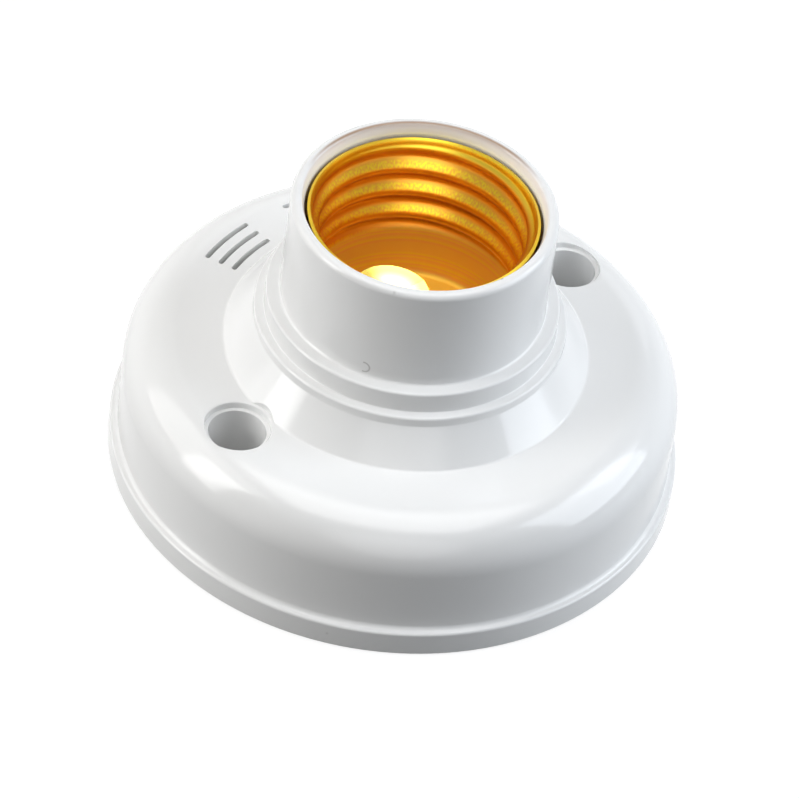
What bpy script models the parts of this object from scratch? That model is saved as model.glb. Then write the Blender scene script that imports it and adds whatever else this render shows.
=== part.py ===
# Surface-mounted lamp holder with a built-in motion sensor.
# A round moulded housing stands on its back. Its collar holds a rolled screw shell, two deep wells take the
# fixing screws, and the sensor's board hangs inside the dome behind a flat back cover.
# Units are metres. The origin is the centre of the back, +Z points out of the socket, the two fixing screws
# lie on the X axis and the vents face +Y.
import math

import bmesh
import bpy
from mathutils import Matrix, Vector

MM = 0.001

# Gap between pieces that touch or nest.
CLEAR = 0.3 * MM

# Screw shell: inner radii of the rolled thread, its pitch and its sheet.
THREAD_GROOVE_RADIUS = 13.35 * MM
THREAD_RIDGE_RADIUS = 12.35 * MM
THREAD_PITCH = 3.629 * MM
THREAD_LENGTH = 13.5 * MM
THREAD_START = 0.56
THREAD_RUNOUT = 1.2 * MM
SHELL_SHEET = 0.4 * MM
SHELL_LIP = 0.3 * MM
SHELL_LIP_HEIGHT = 0.9 * MM
SHELL_SKIRT_STEP = 0.5 * MM
SHELL_CORNER = 0.8 * MM
SHELL_RECESS = 1.3 * MM
SHELL_ROWS_PER_TURN = 6
SHELL_SEGMENTS = 30

# Collar and the two step rings under it.
COLLAR_GAP = 0.3 * MM
COLLAR_WALL = 1.75 * MM
COLLAR_DRAFT = 0.05 * MM
COLLAR_RISE = 14.2 * MM
RIM_LEAD_IN = 0.43 * MM
RIM_ROUND = 0.6 * MM
UPPER_LEDGE = 1.75 * MM
UPPER_RING_RISE = 2.8 * MM
LOWER_LEDGE = 1.2 * MM
LOWER_RING_RISE = 1.2 * MM
CONE_RISE = 4.4 * MM
CONE_SPREAD = 3.25 * MM
STEP_ROUND = 0.3 * MM

# Dome and foot.
DOME_TOP_WIDTH = 5.6 * MM
SHOULDER_RADIUS = 6.2 * MM
WALL = 2.0 * MM
FOOT_LEDGE = 0.95 * MM
FOOT_HEIGHT = 3.4 * MM
FOOT_FILLET = 0.6 * MM
FOOT_ROUND = 0.35 * MM
HOUSING_SEGMENTS = 52

# Fixing-screw wells.
WELL_EDGE = 8.0 * MM
WELL_RADIUS = 3.5 * MM
WELL_WALL = 1.4 * MM
WELL_STEP = 0.5 * MM
WELL_STEP_DEPTH = 0.85 * MM
WELL_LEAD_IN = 0.25 * MM
SCREW_SEAT_HEIGHT = 3.0 * MM
SCREW_HOLE_RADIUS = 2.2 * MM

# Vents: two groups of three arcs.
VENT_COUNT = 3
VENT_GROUP_ANGLE = 14.5
VENT_HALF_ANGLE = 7.9
VENT_EDGE = 1.65 * MM
VENT_SPACING = 1.87 * MM
VENT_WIDTH = 0.78 * MM

# Floor of the socket, the insulating block on it and the rivets through both.
FLOOR_DROP = 1.8 * MM
FLOOR_THICKNESS = 1.6 * MM
BLOCK_FLANGE_THICKNESS = 0.9 * MM
BLOCK_BOSS_RISE = 0.7 * MM
RIVET_WALL_GAP = 0.15 * MM
RIVET_EYE_GAP = 0.5 * MM
RIVET_RADIUS = 1.0 * MM
RIVET_HEAD_RADIUS = 1.9 * MM
RIVET_HEAD_HEIGHT = 0.8 * MM
TAG_THICKNESS = 0.5 * MM
TAG_WIDTH = 4.0 * MM
TAG_LENGTH = 9.5 * MM
WASHER_RADIUS = 2.3 * MM

# Centre contact: a sprung leaf that swings about its root.
LEAF_THICKNESS = 0.4 * MM
LEAF_WIDTH = 10.2 * MM
LEAF_ROOT_WIDTH = 4.0 * MM
LEAF_ROOT_OFFSET = 4.6 * MM
LEAF_TIP_CENTRE = 3.6 * MM
LEAF_RISE = 4.0 * MM
LEAF_TIP_RISE = 0.4 * MM
LEAF_LEG_END = 1.1 * MM
LEAF_SWING = 12.0

# Circuit board.
BOARD_DROP = 2.6 * MM
BOARD_THICKNESS = 1.6 * MM
BOARD_WELL_GAP = 1.2 * MM
BOARD_POST_GAP = 1.5 * MM
BOARD_WALL_GAP = 2.1 * MM
BOARD_RIVET_GAP = 2.1 * MM
BOARD_SCREW_INSET = 3.5 * MM
BOARD_POST_RADIUS = 2.6 * MM
BOARD_SCREW_RADIUS = 1.0 * MM
BOARD_SCREW_HEAD_RADIUS = 2.1 * MM
BOARD_SCREW_HEAD_HEIGHT = 1.1 * MM
BOARD_SCREW_BITE = 2.4 * MM

# Back cover and its screws.
COVER_THICKNESS = 1.9 * MM
COVER_LIP = 1.1 * MM
CABLE_HOLE_RADIUS = 7.5 * MM
CABLE_COLLAR_WALL = 1.5 * MM
CABLE_COLLAR_RISE = 1.4 * MM
COVER_RIB_WIDTH = 1.2 * MM
COVER_RIB_RISE = 0.9 * MM
COVER_RIB_INSET = 6.0 * MM
COVER_POST_GAP = 0.75 * MM
COVER_SCREW_ANGLES = (32.0, 148.0, 270.0)
COVER_SCREW_RADIUS = 1.3 * MM
COVER_SCREW_HEAD_RADIUS = 2.7 * MM
COVER_SCREW_LENGTH = 7.5 * MM
COVER_POST_WALL = 1.3 * MM

# Terminal block.
TERMINAL_LENGTH = 17.0 * MM
TERMINAL_DEPTH = 8.0 * MM
TERMINAL_HEIGHT = 7.9 * MM
TERMINAL_INSET = 0.5 * MM
TERMINAL_LIFT = 1.1 * MM
TERMINAL_ROOF = 1.3 * MM
TERMINAL_RIB = 2.3 * MM
CLAMP_DEPTH = 5.0 * MM
CLAMP_FLOOR = 1.2 * MM
TERMINAL_SCREW_RADIUS = 1.2 * MM
TERMINAL_SCREW_HEAD_RADIUS = 1.9 * MM
TERMINAL_SCREW_HEAD_HEIGHT = 1.1 * MM

# Parts soldered to the board, and their places from its edges and from each other.
FILM_CAPACITOR_LENGTH = 13.0 * MM
FILM_CAPACITOR_DEPTH = 6.0 * MM
FILM_CAPACITOR_GAP = 1.6 * MM
FRONT_INSET = 5.8 * MM
SMOOTHING_CAPACITOR_RADIUS = 3.2 * MM
SMOOTHING_CAPACITOR_LENGTH = 11.0 * MM
CAPACITOR_SPACE = 2.0 * MM
FUSE_RADIUS = 1.5 * MM
FUSE_LENGTH = 8.0 * MM
FUSE_GAP = 0.9 * MM
SIDE_INSET = 3.0 * MM
SURGE_RADIUS = 3.2 * MM
SURGE_THICKNESS = 3.0 * MM
SURGE_BACK = 9.0 * MM
TRIAC_RADIUS = 2.2 * MM
TRIAC_HEIGHT = 4.6 * MM
TRIAC_GAP = 1.2 * MM
DIODE_LENGTH = 4.3 * MM
DIODE_WIDTH = 2.6 * MM
DIODE_HEIGHT = 2.2 * MM
DIODE_GAP = 0.7 * MM
DIODE_ROW_GAP = 1.8 * MM
DIODE_TERMINAL_GAP = 1.3 * MM
CHIP_WIDTH = 4.0 * MM
CHIP_THICKNESS = 1.5 * MM
CHIP_END = 0.6 * MM
CHIP_FORWARD = 8.0 * MM
CHIP_LEGS = 8
CHIP_LEG_PITCH = 1.27 * MM
CHIP_LEG_WIDTH = 0.45 * MM
CHIP_LEG_REACH = 1.0 * MM
CHIP_LEG_THICKNESS = 0.3 * MM
EYE_BASE_WIDTH = 3.6 * MM
EYE_BASE_THICKNESS = 0.7 * MM
EYE_EDGE = 0.5 * MM
EYE_RISE = 1.1 * MM
RADAR_BOARD_THICKNESS = 1.0 * MM
RADAR_BOARD_LENGTH = 20.0 * MM
RADAR_BOARD_GAP = 0.4 * MM
RADAR_INSET = 2.5 * MM
RADAR_SHIELD_THICKNESS = 1.4 * MM
RADAR_SHIELD_EDGE = 5.0 * MM
RADAR_SHIELD_MARGIN = 1.5 * MM
LEAD_RADIUS = 0.7 * MM

# Heights and radii that follow from the sizes above.
SHELL_SKIRT_RADIUS = THREAD_GROOVE_RADIUS - SHELL_SKIRT_STEP
LIP_RADIUS = THREAD_GROOVE_RADIUS + SHELL_SHEET + SHELL_LIP
BORE_RADIUS = LIP_RADIUS + COLLAR_GAP
COLLAR_RADIUS = BORE_RADIUS + COLLAR_WALL
UPPER_RING_RADIUS = COLLAR_RADIUS + UPPER_LEDGE
LOWER_RING_RADIUS = UPPER_RING_RADIUS + LOWER_LEDGE
CONE_FOOT_RADIUS = LOWER_RING_RADIUS + CONE_SPREAD
DOME_RADIUS = CONE_FOOT_RADIUS + DOME_TOP_WIDTH + SHOULDER_RADIUS
INNER_RADIUS = DOME_RADIUS - WALL
FOOT_RADIUS = DOME_RADIUS + FOOT_LEDGE
COVER_BOTTOM = CLEAR
COVER_TOP = COVER_BOTTOM + COVER_THICKNESS
COVER_SEAT = COVER_TOP + CLEAR
TERMINAL_BOTTOM = COVER_SEAT + TERMINAL_LIFT
MOUNT_PLANE = TERMINAL_BOTTOM + TERMINAL_HEIGHT
BOARD_BOTTOM = MOUNT_PLANE + CLEAR
BOARD_TOP = BOARD_BOTTOM + BOARD_THICKNESS
CEILING = BOARD_TOP + BOARD_DROP
DOME_HEIGHT = CEILING + WALL
CONE_TOP = DOME_HEIGHT + CONE_RISE
LOWER_RING_TOP = CONE_TOP + LOWER_RING_RISE
UPPER_RING_TOP = LOWER_RING_TOP + UPPER_RING_RISE
RIM_HEIGHT = UPPER_RING_TOP + COLLAR_RISE
RIVET_OFFSET = SHELL_SKIRT_RADIUS - SHELL_CORNER - RIVET_HEAD_RADIUS - RIVET_WALL_GAP
SHELL_EYE_RADIUS = RIVET_OFFSET - RIVET_HEAD_RADIUS - RIVET_EYE_GAP
FLOOR_TOP = DOME_HEIGHT - FLOOR_DROP
FLOOR_BOTTOM = FLOOR_TOP - FLOOR_THICKNESS
FLOOR_EYE_RADIUS = SHELL_EYE_RADIUS + CLEAR
BLOCK_FLANGE_TOP = FLOOR_TOP + CLEAR + BLOCK_FLANGE_THICKNESS
SHELL_FLOOR = BLOCK_FLANGE_TOP + CLEAR + SHELL_SHEET
SHELL_TOP = RIM_HEIGHT - SHELL_RECESS
THREAD_TOP = SHELL_TOP - SHELL_LIP_HEIGHT
THREAD_BOTTOM = THREAD_TOP - THREAD_LENGTH
BLOCK_TOP = BLOCK_FLANGE_TOP + BLOCK_BOSS_RISE + CLEAR
BLOCK_BOSS_RADIUS = SHELL_EYE_RADIUS - CLEAR
LEAF_HINGE_HEIGHT = BLOCK_TOP + LEAF_THICKNESS / 2 + CLEAR
TAG_TOP = FLOOR_BOTTOM - CLEAR
TAG_BOTTOM = TAG_TOP - TAG_THICKNESS
RIVET_HOLE_RADIUS = RIVET_RADIUS + CLEAR
COVER_RADIUS = INNER_RADIUS + COVER_LIP - CLEAR
WELL_OFFSET = DOME_RADIUS - WELL_EDGE
WELL_TUBE_RADIUS = WELL_RADIUS + WELL_WALL
COVER_POST_RADIUS = COVER_SCREW_RADIUS + CLEAR + COVER_POST_WALL
COVER_SCREW_CIRCLE = INNER_RADIUS - COVER_POST_RADIUS - COVER_POST_GAP
COVER_RIB_REACH = INNER_RADIUS - COVER_RIB_INSET
VENT_INNER_RADIUS = CONE_FOOT_RADIUS + VENT_EDGE
VENT_MIDDLE_RADIUS = VENT_INNER_RADIUS + VENT_SPACING * (VENT_COUNT - 1) / 2
EYE_PLACE = (VENT_MIDDLE_RADIUS * math.sin(math.radians(VENT_GROUP_ANGLE)),
             VENT_MIDDLE_RADIUS * math.cos(math.radians(VENT_GROUP_ANGLE)))
BOARD_HALF_WIDTH = WELL_OFFSET - WELL_TUBE_RADIUS - BOARD_WELL_GAP
BOARD_FRONT = EYE_PLACE[1] + EYE_BASE_WIDTH / 2 + CLEAR
BOARD_REAR = COVER_SCREW_CIRCLE - COVER_POST_RADIUS - BOARD_POST_GAP
BOARD_CORNER_RADIUS = INNER_RADIUS - BOARD_WALL_GAP
BOARD_EYE_RADIUS = RIVET_OFFSET + RIVET_HEAD_RADIUS + BOARD_RIVET_GAP
BOARD_SCREW_OFFSET = BOARD_HALF_WIDTH - BOARD_SCREW_INSET
TERMINAL_REAR = BOARD_REAR - TERMINAL_INSET
CLAMP_WIDTH = (TERMINAL_LENGTH - 2 * TERMINAL_RIB - 4 * CLEAR) / 2
TERMINAL_PITCH = TERMINAL_LENGTH / 2
CLAMP_BOTTOM = TERMINAL_BOTTOM + TERMINAL_SCREW_HEAD_HEIGHT + 3 * CLEAR
CLAMP_HEIGHT = MOUNT_PLANE - TERMINAL_ROOF - CLAMP_BOTTOM
WIRE_HOLE_RADIUS = (CLAMP_HEIGHT - CLAMP_FLOOR - 2 * CLEAR) / 2
ROOM_HEIGHT = MOUNT_PLANE - COVER_TOP - COVER_RIB_RISE
SIDE_COLUMN = BOARD_HALF_WIDTH - SIDE_INSET
CHIP_LENGTH = CHIP_LEGS * CHIP_LEG_PITCH - CHIP_LEG_PITCH + 2 * CHIP_END
EYE_RADIUS = EYE_BASE_WIDTH / 2 - EYE_EDGE

WHITE_PLASTIC = ("white_plastic", (0.88, 0.88, 0.87), 0.18, 0.0)
COVER_PLASTIC = ("cover_plastic", (0.80, 0.80, 0.78), 0.45, 0.0)
GOLD_BRASS = ("gold_brass", (0.93, 0.60, 0.12), 0.22, 1.0)
CONTACT_BRASS = ("contact_brass", (0.90, 0.78, 0.30), 0.20, 1.0)
BLOCK_PLASTIC = ("block_plastic", (0.14, 0.10, 0.08), 0.50, 0.0)
PLATED_STEEL = ("plated_steel", (0.62, 0.62, 0.60), 0.30, 1.0)
BOARD_GREEN = ("board_green", (0.05, 0.24, 0.12), 0.45, 0.0)
RADAR_GREEN = ("radar_green", (0.04, 0.16, 0.20), 0.45, 0.0)
TERMINAL_PLASTIC = ("terminal_plastic", (0.06, 0.22, 0.10), 0.45, 0.0)
CAPACITOR_RED = ("capacitor_red", (0.45, 0.10, 0.06), 0.35, 0.0)
CAN_SLEEVE = ("can_sleeve", (0.04, 0.05, 0.08), 0.35, 0.0)
CERAMIC_BLUE = ("ceramic_blue", (0.08, 0.16, 0.38), 0.40, 0.0)
RESISTOR_BODY = ("resistor_body", (0.36, 0.45, 0.40), 0.50, 0.0)
BLACK_EPOXY = ("black_epoxy", (0.03, 0.03, 0.03), 0.40, 0.0)
CLEAR_EPOXY = ("clear_epoxy", (0.70, 0.72, 0.70), 0.15, 0.0)
LEAD_INSULATION = ("lead_insulation", (0.60, 0.05, 0.04), 0.50, 0.0)

SHARP_ANGLE = math.radians(35.0)
WELD = 1e-6


def clear_scene():
    """Empties the scene before anything is built."""
    for obj in list(bpy.data.objects):
        bpy.data.objects.remove(obj, do_unlink=True)


def finish(name, colour, roughness, metallic):
    """A Principled material of one colour."""
    material = bpy.data.materials.new(name)
    material.use_nodes = True
    shader = material.node_tree.nodes["Principled BSDF"]
    shader.inputs["Base Color"].default_value = (*colour, 1.0)
    shader.inputs["Roughness"].default_value = roughness
    shader.inputs["Metallic"].default_value = metallic
    return material


def add_object(name, bm, look=None):
    """Turns a bmesh into an object of the scene, with its own material."""
    bmesh.ops.remove_doubles(bm, verts=bm.verts[:], dist=WELD)
    bmesh.ops.recalc_face_normals(bm, faces=bm.faces[:])
    mesh = bpy.data.meshes.new(name)
    bm.to_mesh(mesh)
    bm.free()
    obj = bpy.data.objects.new(name, mesh)
    bpy.context.scene.collection.objects.link(obj)
    if look:
        material_name, colour, roughness, metallic = look
        mesh.materials.append(finish(f"{name}_{material_name}", colour, roughness, metallic))
        mesh.shade_smooth()
        mesh.set_sharp_from_angle(angle=SHARP_ANGLE)
    return obj


def helper(name, bm):
    """An object that only cuts, joins or trims another one, so it isn't rendered."""
    obj = add_object(name, bm)
    obj.hide_render = True
    obj.display_type = "WIRE"
    return obj


def combine(target, tool, operation):
    """Adds a Boolean of the tool to the target."""
    modifier = target.modifiers.new(f"{operation.lower()}_{tool.name}", "BOOLEAN")
    modifier.operation = operation
    modifier.object = tool
    modifier.solver = "EXACT"


def arc(centre, radius, start, end, steps):
    """Points of an arc in the half-plane (radius, height), angles in degrees from +X."""
    points = []
    for step in range(steps + 1):
        angle = math.radians(start + (end - start) * step / steps)
        points.append((centre[0] + radius * math.cos(angle), centre[1] + radius * math.sin(angle)))
    return points


def add_turned(bm, profile, segments, centre=(0.0, 0.0)):
    """Adds the closed profile of (radius, height) points, spun about a vertical axis."""
    verts = [bm.verts.new((radius + centre[0], centre[1], height)) for radius, height in profile]
    edges = [bm.edges.new((verts[i], verts[i - 1])) for i in range(len(verts))]
    bmesh.ops.spin(bm, geom=verts + edges, cent=(*centre, 0.0), axis=(0.0, 0.0, 1.0),
                   angle=math.tau, steps=segments, use_merge=True)


def turned(profile, segments, centre=(0.0, 0.0)):
    """A bmesh of one closed profile spun about a vertical axis."""
    bm = bmesh.new()
    add_turned(bm, profile, segments, centre)
    return bm


def add_cylinder(bm, radius, low, high, segments, centre=(0.0, 0.0)):
    """Adds a plain upright cylinder."""
    place = Matrix.Translation((*centre, (low + high) / 2))
    bmesh.ops.create_cone(bm, cap_ends=True, segments=segments, radius1=radius, radius2=radius,
                          depth=high - low, matrix=place)


def add_prism(bm, outline, low, high):
    """Adds an outline of (x, y) points raised from one height to another."""
    face = bm.faces.new([bm.verts.new((x, y, low)) for x, y in outline])
    raised = bmesh.ops.extrude_face_region(bm, geom=[face])
    verts = [item for item in raised["geom"] if isinstance(item, bmesh.types.BMVert)]
    bmesh.ops.translate(bm, vec=(0.0, 0.0, high - low), verts=verts)


def add_box(bm, low, high):
    """Adds a box between two opposite corners."""
    size = Vector(high) - Vector(low)
    place = Matrix.Translation((Vector(high) + Vector(low)) / 2) @ Matrix.Diagonal((*size, 1.0))
    bmesh.ops.create_cube(bm, size=1.0, matrix=place)


def box_at(place, size, top):
    """Corners of a box centred on a place, hanging down from a height."""
    low = (place[0] - size[0] / 2, place[1] - size[1] / 2, top - size[2])
    high = (place[0] + size[0] / 2, place[1] + size[1] / 2, top)
    return low, high


def on_circle(radius, degrees):
    """A point of a circle about the origin, the angle counted from +X."""
    return radius * math.cos(math.radians(degrees)), radius * math.sin(math.radians(degrees))


def housing_profile():
    """Section of the moulding: down the outside from the rim, then back up the inside."""
    collar_foot = COLLAR_RADIUS + COLLAR_DRAFT
    rim = arc((COLLAR_RADIUS - RIM_ROUND, RIM_HEIGHT - RIM_ROUND), RIM_ROUND, 90, 0, 3)
    upper = arc((UPPER_RING_RADIUS - STEP_ROUND, UPPER_RING_TOP - STEP_ROUND), STEP_ROUND, 90, 0, 2)
    lower = arc((LOWER_RING_RADIUS - STEP_ROUND, LOWER_RING_TOP - STEP_ROUND), STEP_ROUND, 90, 0, 2)
    shoulder = arc((DOME_RADIUS - SHOULDER_RADIUS, DOME_HEIGHT - SHOULDER_RADIUS),
                   SHOULDER_RADIUS, 90, 0, 6)
    fillet = arc((DOME_RADIUS + FOOT_FILLET, FOOT_HEIGHT + FOOT_FILLET), FOOT_FILLET, 180, 270, 2)
    foot = arc((FOOT_RADIUS - FOOT_ROUND, FOOT_HEIGHT - FOOT_ROUND), FOOT_ROUND, 90, 0, 2)
    outside = [*rim, (collar_foot, UPPER_RING_TOP + STEP_ROUND), (collar_foot + STEP_ROUND, UPPER_RING_TOP),
               *upper, (UPPER_RING_RADIUS, LOWER_RING_TOP), *lower, (LOWER_RING_RADIUS, CONE_TOP),
               (CONE_FOOT_RADIUS, DOME_HEIGHT), *shoulder, *fillet, *foot[1:],
               (FOOT_RADIUS, FOOT_ROUND), (FOOT_RADIUS - FOOT_ROUND, 0.0)]
    inner_shoulder = arc((DOME_RADIUS - SHOULDER_RADIUS, DOME_HEIGHT - SHOULDER_RADIUS),
                         SHOULDER_RADIUS - WALL, 0, 90, 3)
    tube_radius = COLLAR_RADIUS
    inside = [(INNER_RADIUS + COVER_LIP, 0.0), (INNER_RADIUS + COVER_LIP, COVER_SEAT),
              (INNER_RADIUS, COVER_SEAT), *inner_shoulder, (CONE_FOOT_RADIUS - WALL * 0.7, CEILING),
              (UPPER_RING_RADIUS - STEP_ROUND, CONE_TOP - WALL), (tube_radius, CONE_TOP - WALL - STEP_ROUND),
              (tube_radius, FLOOR_BOTTOM), (FLOOR_EYE_RADIUS, FLOOR_BOTTOM), (FLOOR_EYE_RADIUS, FLOOR_TOP),
              (BORE_RADIUS, FLOOR_TOP), (BORE_RADIUS, SHELL_TOP), (BORE_RADIUS + RIM_LEAD_IN, RIM_HEIGHT)]
    return outside + inside


def well_places():
    """Centres of the two fixing-screw wells."""
    return (WELL_OFFSET, 0.0), (-WELL_OFFSET, 0.0)


def cover_screw_places():
    """Centres of the back cover's screws."""
    return [on_circle(COVER_SCREW_CIRCLE, degrees) for degrees in COVER_SCREW_ANGLES]


def board_screw_places():
    """Centres of the board's two screws, on a diagonal."""
    return (BOARD_SCREW_OFFSET, BOARD_SCREW_OFFSET), (-BOARD_SCREW_OFFSET, -BOARD_SCREW_OFFSET)


def vent_outline(radius, middle_angle):
    """Outline of one curved vent with round ends, about the origin."""
    half = VENT_WIDTH / 2
    start, end = middle_angle - VENT_HALF_ANGLE, middle_angle + VENT_HALF_ANGLE
    outer = arc((0.0, 0.0), radius + half, start, end, 3)
    inner = arc((0.0, 0.0), radius - half, end, start, 3)
    end_cap = arc(on_circle(radius, end), half, end, end + 180, 3)[1:-1]
    start_cap = arc(on_circle(radius, start), half, start + 180, start + 360, 3)[1:-1]
    return outer + end_cap + inner + start_cap


def build_housing():
    """The white moulding: collar, step rings, cone, dome, foot, wells, posts and vents."""
    housing = add_object("housing", turned(housing_profile(), HOUSING_SEGMENTS), WHITE_PLASTIC)

    posts = bmesh.new()
    wall_middle = DOME_HEIGHT - WALL / 2
    for place in well_places():
        add_cylinder(posts, WELL_TUBE_RADIUS, COVER_BOTTOM + CLEAR / 2, wall_middle - WALL / 6, 20, place)
    for place in cover_screw_places():
        add_cylinder(posts, COVER_POST_RADIUS, COVER_SEAT, wall_middle - WALL / 4, 12, place)
    for place in board_screw_places():
        add_cylinder(posts, BOARD_POST_RADIUS, BOARD_TOP + CLEAR, wall_middle, 12, place)
    combine(housing, helper("housing_posts", posts), "UNION")

    holes = bmesh.new()
    above = DOME_HEIGHT + WALL
    step_radius = WELL_RADIUS + WELL_STEP
    step_height = DOME_HEIGHT - WELL_STEP_DEPTH
    mouth = step_radius + WELL_LEAD_IN
    for place in well_places():
        well = [(0.0, -WALL), (SCREW_HOLE_RADIUS, -WALL), (SCREW_HOLE_RADIUS, SCREW_SEAT_HEIGHT),
                (WELL_RADIUS, SCREW_SEAT_HEIGHT), (WELL_RADIUS, step_height), (step_radius, step_height),
                (step_radius, DOME_HEIGHT - WELL_LEAD_IN), (mouth, DOME_HEIGHT), (mouth, above), (0.0, above)]
        add_turned(holes, well, 28, place)
    for place in cover_screw_places():
        add_cylinder(holes, COVER_SCREW_RADIUS + CLEAR, 0.0, COVER_SEAT + COVER_SCREW_LENGTH, 12, place)
    for place in board_screw_places():
        bite_end = BOARD_TOP + BOARD_SCREW_BITE + 2 * CLEAR
        add_cylinder(holes, BOARD_SCREW_RADIUS + CLEAR, BOARD_BOTTOM, bite_end, 12, place)
    for side in (-1, 1):
        add_cylinder(holes, RIVET_HOLE_RADIUS, FLOOR_BOTTOM - WALL, FLOOR_TOP + CLEAR, 12,
                     (side * RIVET_OFFSET, 0.0))
        for row in range(VENT_COUNT):
            outline = vent_outline(VENT_INNER_RADIUS + row * VENT_SPACING, 90 + side * VENT_GROUP_ANGLE)
            add_prism(holes, outline, CEILING - WALL / 2, above)
    combine(housing, helper("housing_holes", holes), "DIFFERENCE")


def shell_radius(height, turn):
    """Inner radius of the shell at a height, at a part of a turn from 0 to 1."""
    middle = (THREAD_GROOVE_RADIUS + THREAD_RIDGE_RADIUS) / 2
    depth = (THREAD_GROOVE_RADIUS - THREAD_RIDGE_RADIUS) / 2
    wave = math.cos(math.tau * ((height - THREAD_TOP) / THREAD_PITCH - turn + THREAD_START))
    into_top = max(0.0, min(1.0, (THREAD_TOP - height) / THREAD_RUNOUT))
    into_bottom = max(0.0, min(1.0, (height - THREAD_BOTTOM) / THREAD_RUNOUT))
    threaded = middle + depth * wave
    plain = THREAD_GROOVE_RADIUS if height > (THREAD_TOP + THREAD_BOTTOM) / 2 else SHELL_SKIRT_RADIUS
    share = min(into_top, into_bottom)
    return threaded * share + plain * (1 - share)


def build_thread_shell():
    """The rolled sheet shell: a flared lip, the thread, a plain skirt and a floor with an eye."""
    rows_in_thread = math.ceil(THREAD_LENGTH / THREAD_PITCH * SHELL_ROWS_PER_TURN)
    heights = [THREAD_TOP - THREAD_LENGTH * row / rows_in_thread for row in range(rows_in_thread + 1)]
    corner = arc((SHELL_SKIRT_RADIUS - SHELL_CORNER, SHELL_FLOOR + SHELL_CORNER), SHELL_CORNER, 0, -90, 3)
    bm = bmesh.new()
    rings = []
    for row in range(1 + len(heights) + len(corner) + 1):
        ring = []
        for segment in range(SHELL_SEGMENTS):
            turn = segment / SHELL_SEGMENTS
            if row == 0:
                radius, height = THREAD_GROOVE_RADIUS + SHELL_LIP, SHELL_TOP
            elif row <= len(heights):
                height = heights[row - 1]
                radius = shell_radius(height, turn)
            elif row <= len(heights) + len(corner):
                radius, height = corner[row - 1 - len(heights)]
            else:
                radius, height = SHELL_EYE_RADIUS, SHELL_FLOOR
            x, y = on_circle(radius, turn * 360)
            ring.append(bm.verts.new((x, y, height)))
        rings.append(ring)
    for upper, lower in zip(rings, rings[1:]):
        for i in range(SHELL_SEGMENTS):
            bm.faces.new((upper[i], upper[i - 1], lower[i - 1], lower[i]))
    shell = add_object("thread_shell", bm, GOLD_BRASS)
    thickness = shell.modifiers.new("sheet", "SOLIDIFY")
    thickness.thickness = SHELL_SHEET
    thickness.offset = 1.0
    thickness.use_even_offset = True
    holes = bmesh.new()
    for side in (-1, 1):
        add_cylinder(holes, RIVET_HOLE_RADIUS, BLOCK_FLANGE_TOP, SHELL_FLOOR + CLEAR, 12,
                     (side * RIVET_OFFSET, 0.0))
    combine(shell, helper("shell_holes", holes), "DIFFERENCE")


def build_contact_block():
    """The insulating block on the socket's floor, with a slot for the centre contact's leg."""
    profile = [(0.0, FLOOR_BOTTOM), (SHELL_EYE_RADIUS, FLOOR_BOTTOM), (SHELL_EYE_RADIUS, FLOOR_TOP + CLEAR),
               (BORE_RADIUS - 2 * CLEAR, FLOOR_TOP + CLEAR), (BORE_RADIUS - 2 * CLEAR, BLOCK_FLANGE_TOP),
               (BLOCK_BOSS_RADIUS, BLOCK_FLANGE_TOP), (BLOCK_BOSS_RADIUS, BLOCK_TOP), (0.0, BLOCK_TOP)]
    block = add_object("contact_block", turned(profile, 24), BLOCK_PLASTIC)
    holes = bmesh.new()
    for side in (-1, 1):
        add_cylinder(holes, RIVET_HOLE_RADIUS, FLOOR_BOTTOM, SHELL_FLOOR, 12, (side * RIVET_OFFSET, 0.0))
    leg_length = LEAF_HINGE_HEIGHT - FLOOR_BOTTOM
    swing_room = leg_length * math.sin(math.radians(LEAF_SWING))
    half = LEAF_ROOT_WIDTH / 2 + CLEAR
    near = -LEAF_ROOT_OFFSET + LEAF_THICKNESS / 2 + CLEAR
    far = -LEAF_ROOT_OFFSET - LEAF_THICKNESS / 2 - CLEAR - swing_room
    add_box(holes, (-half, far, FLOOR_BOTTOM - CLEAR), (half, near, BLOCK_TOP + CLEAR))
    combine(block, helper("block_holes", holes), "DIFFERENCE")


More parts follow.
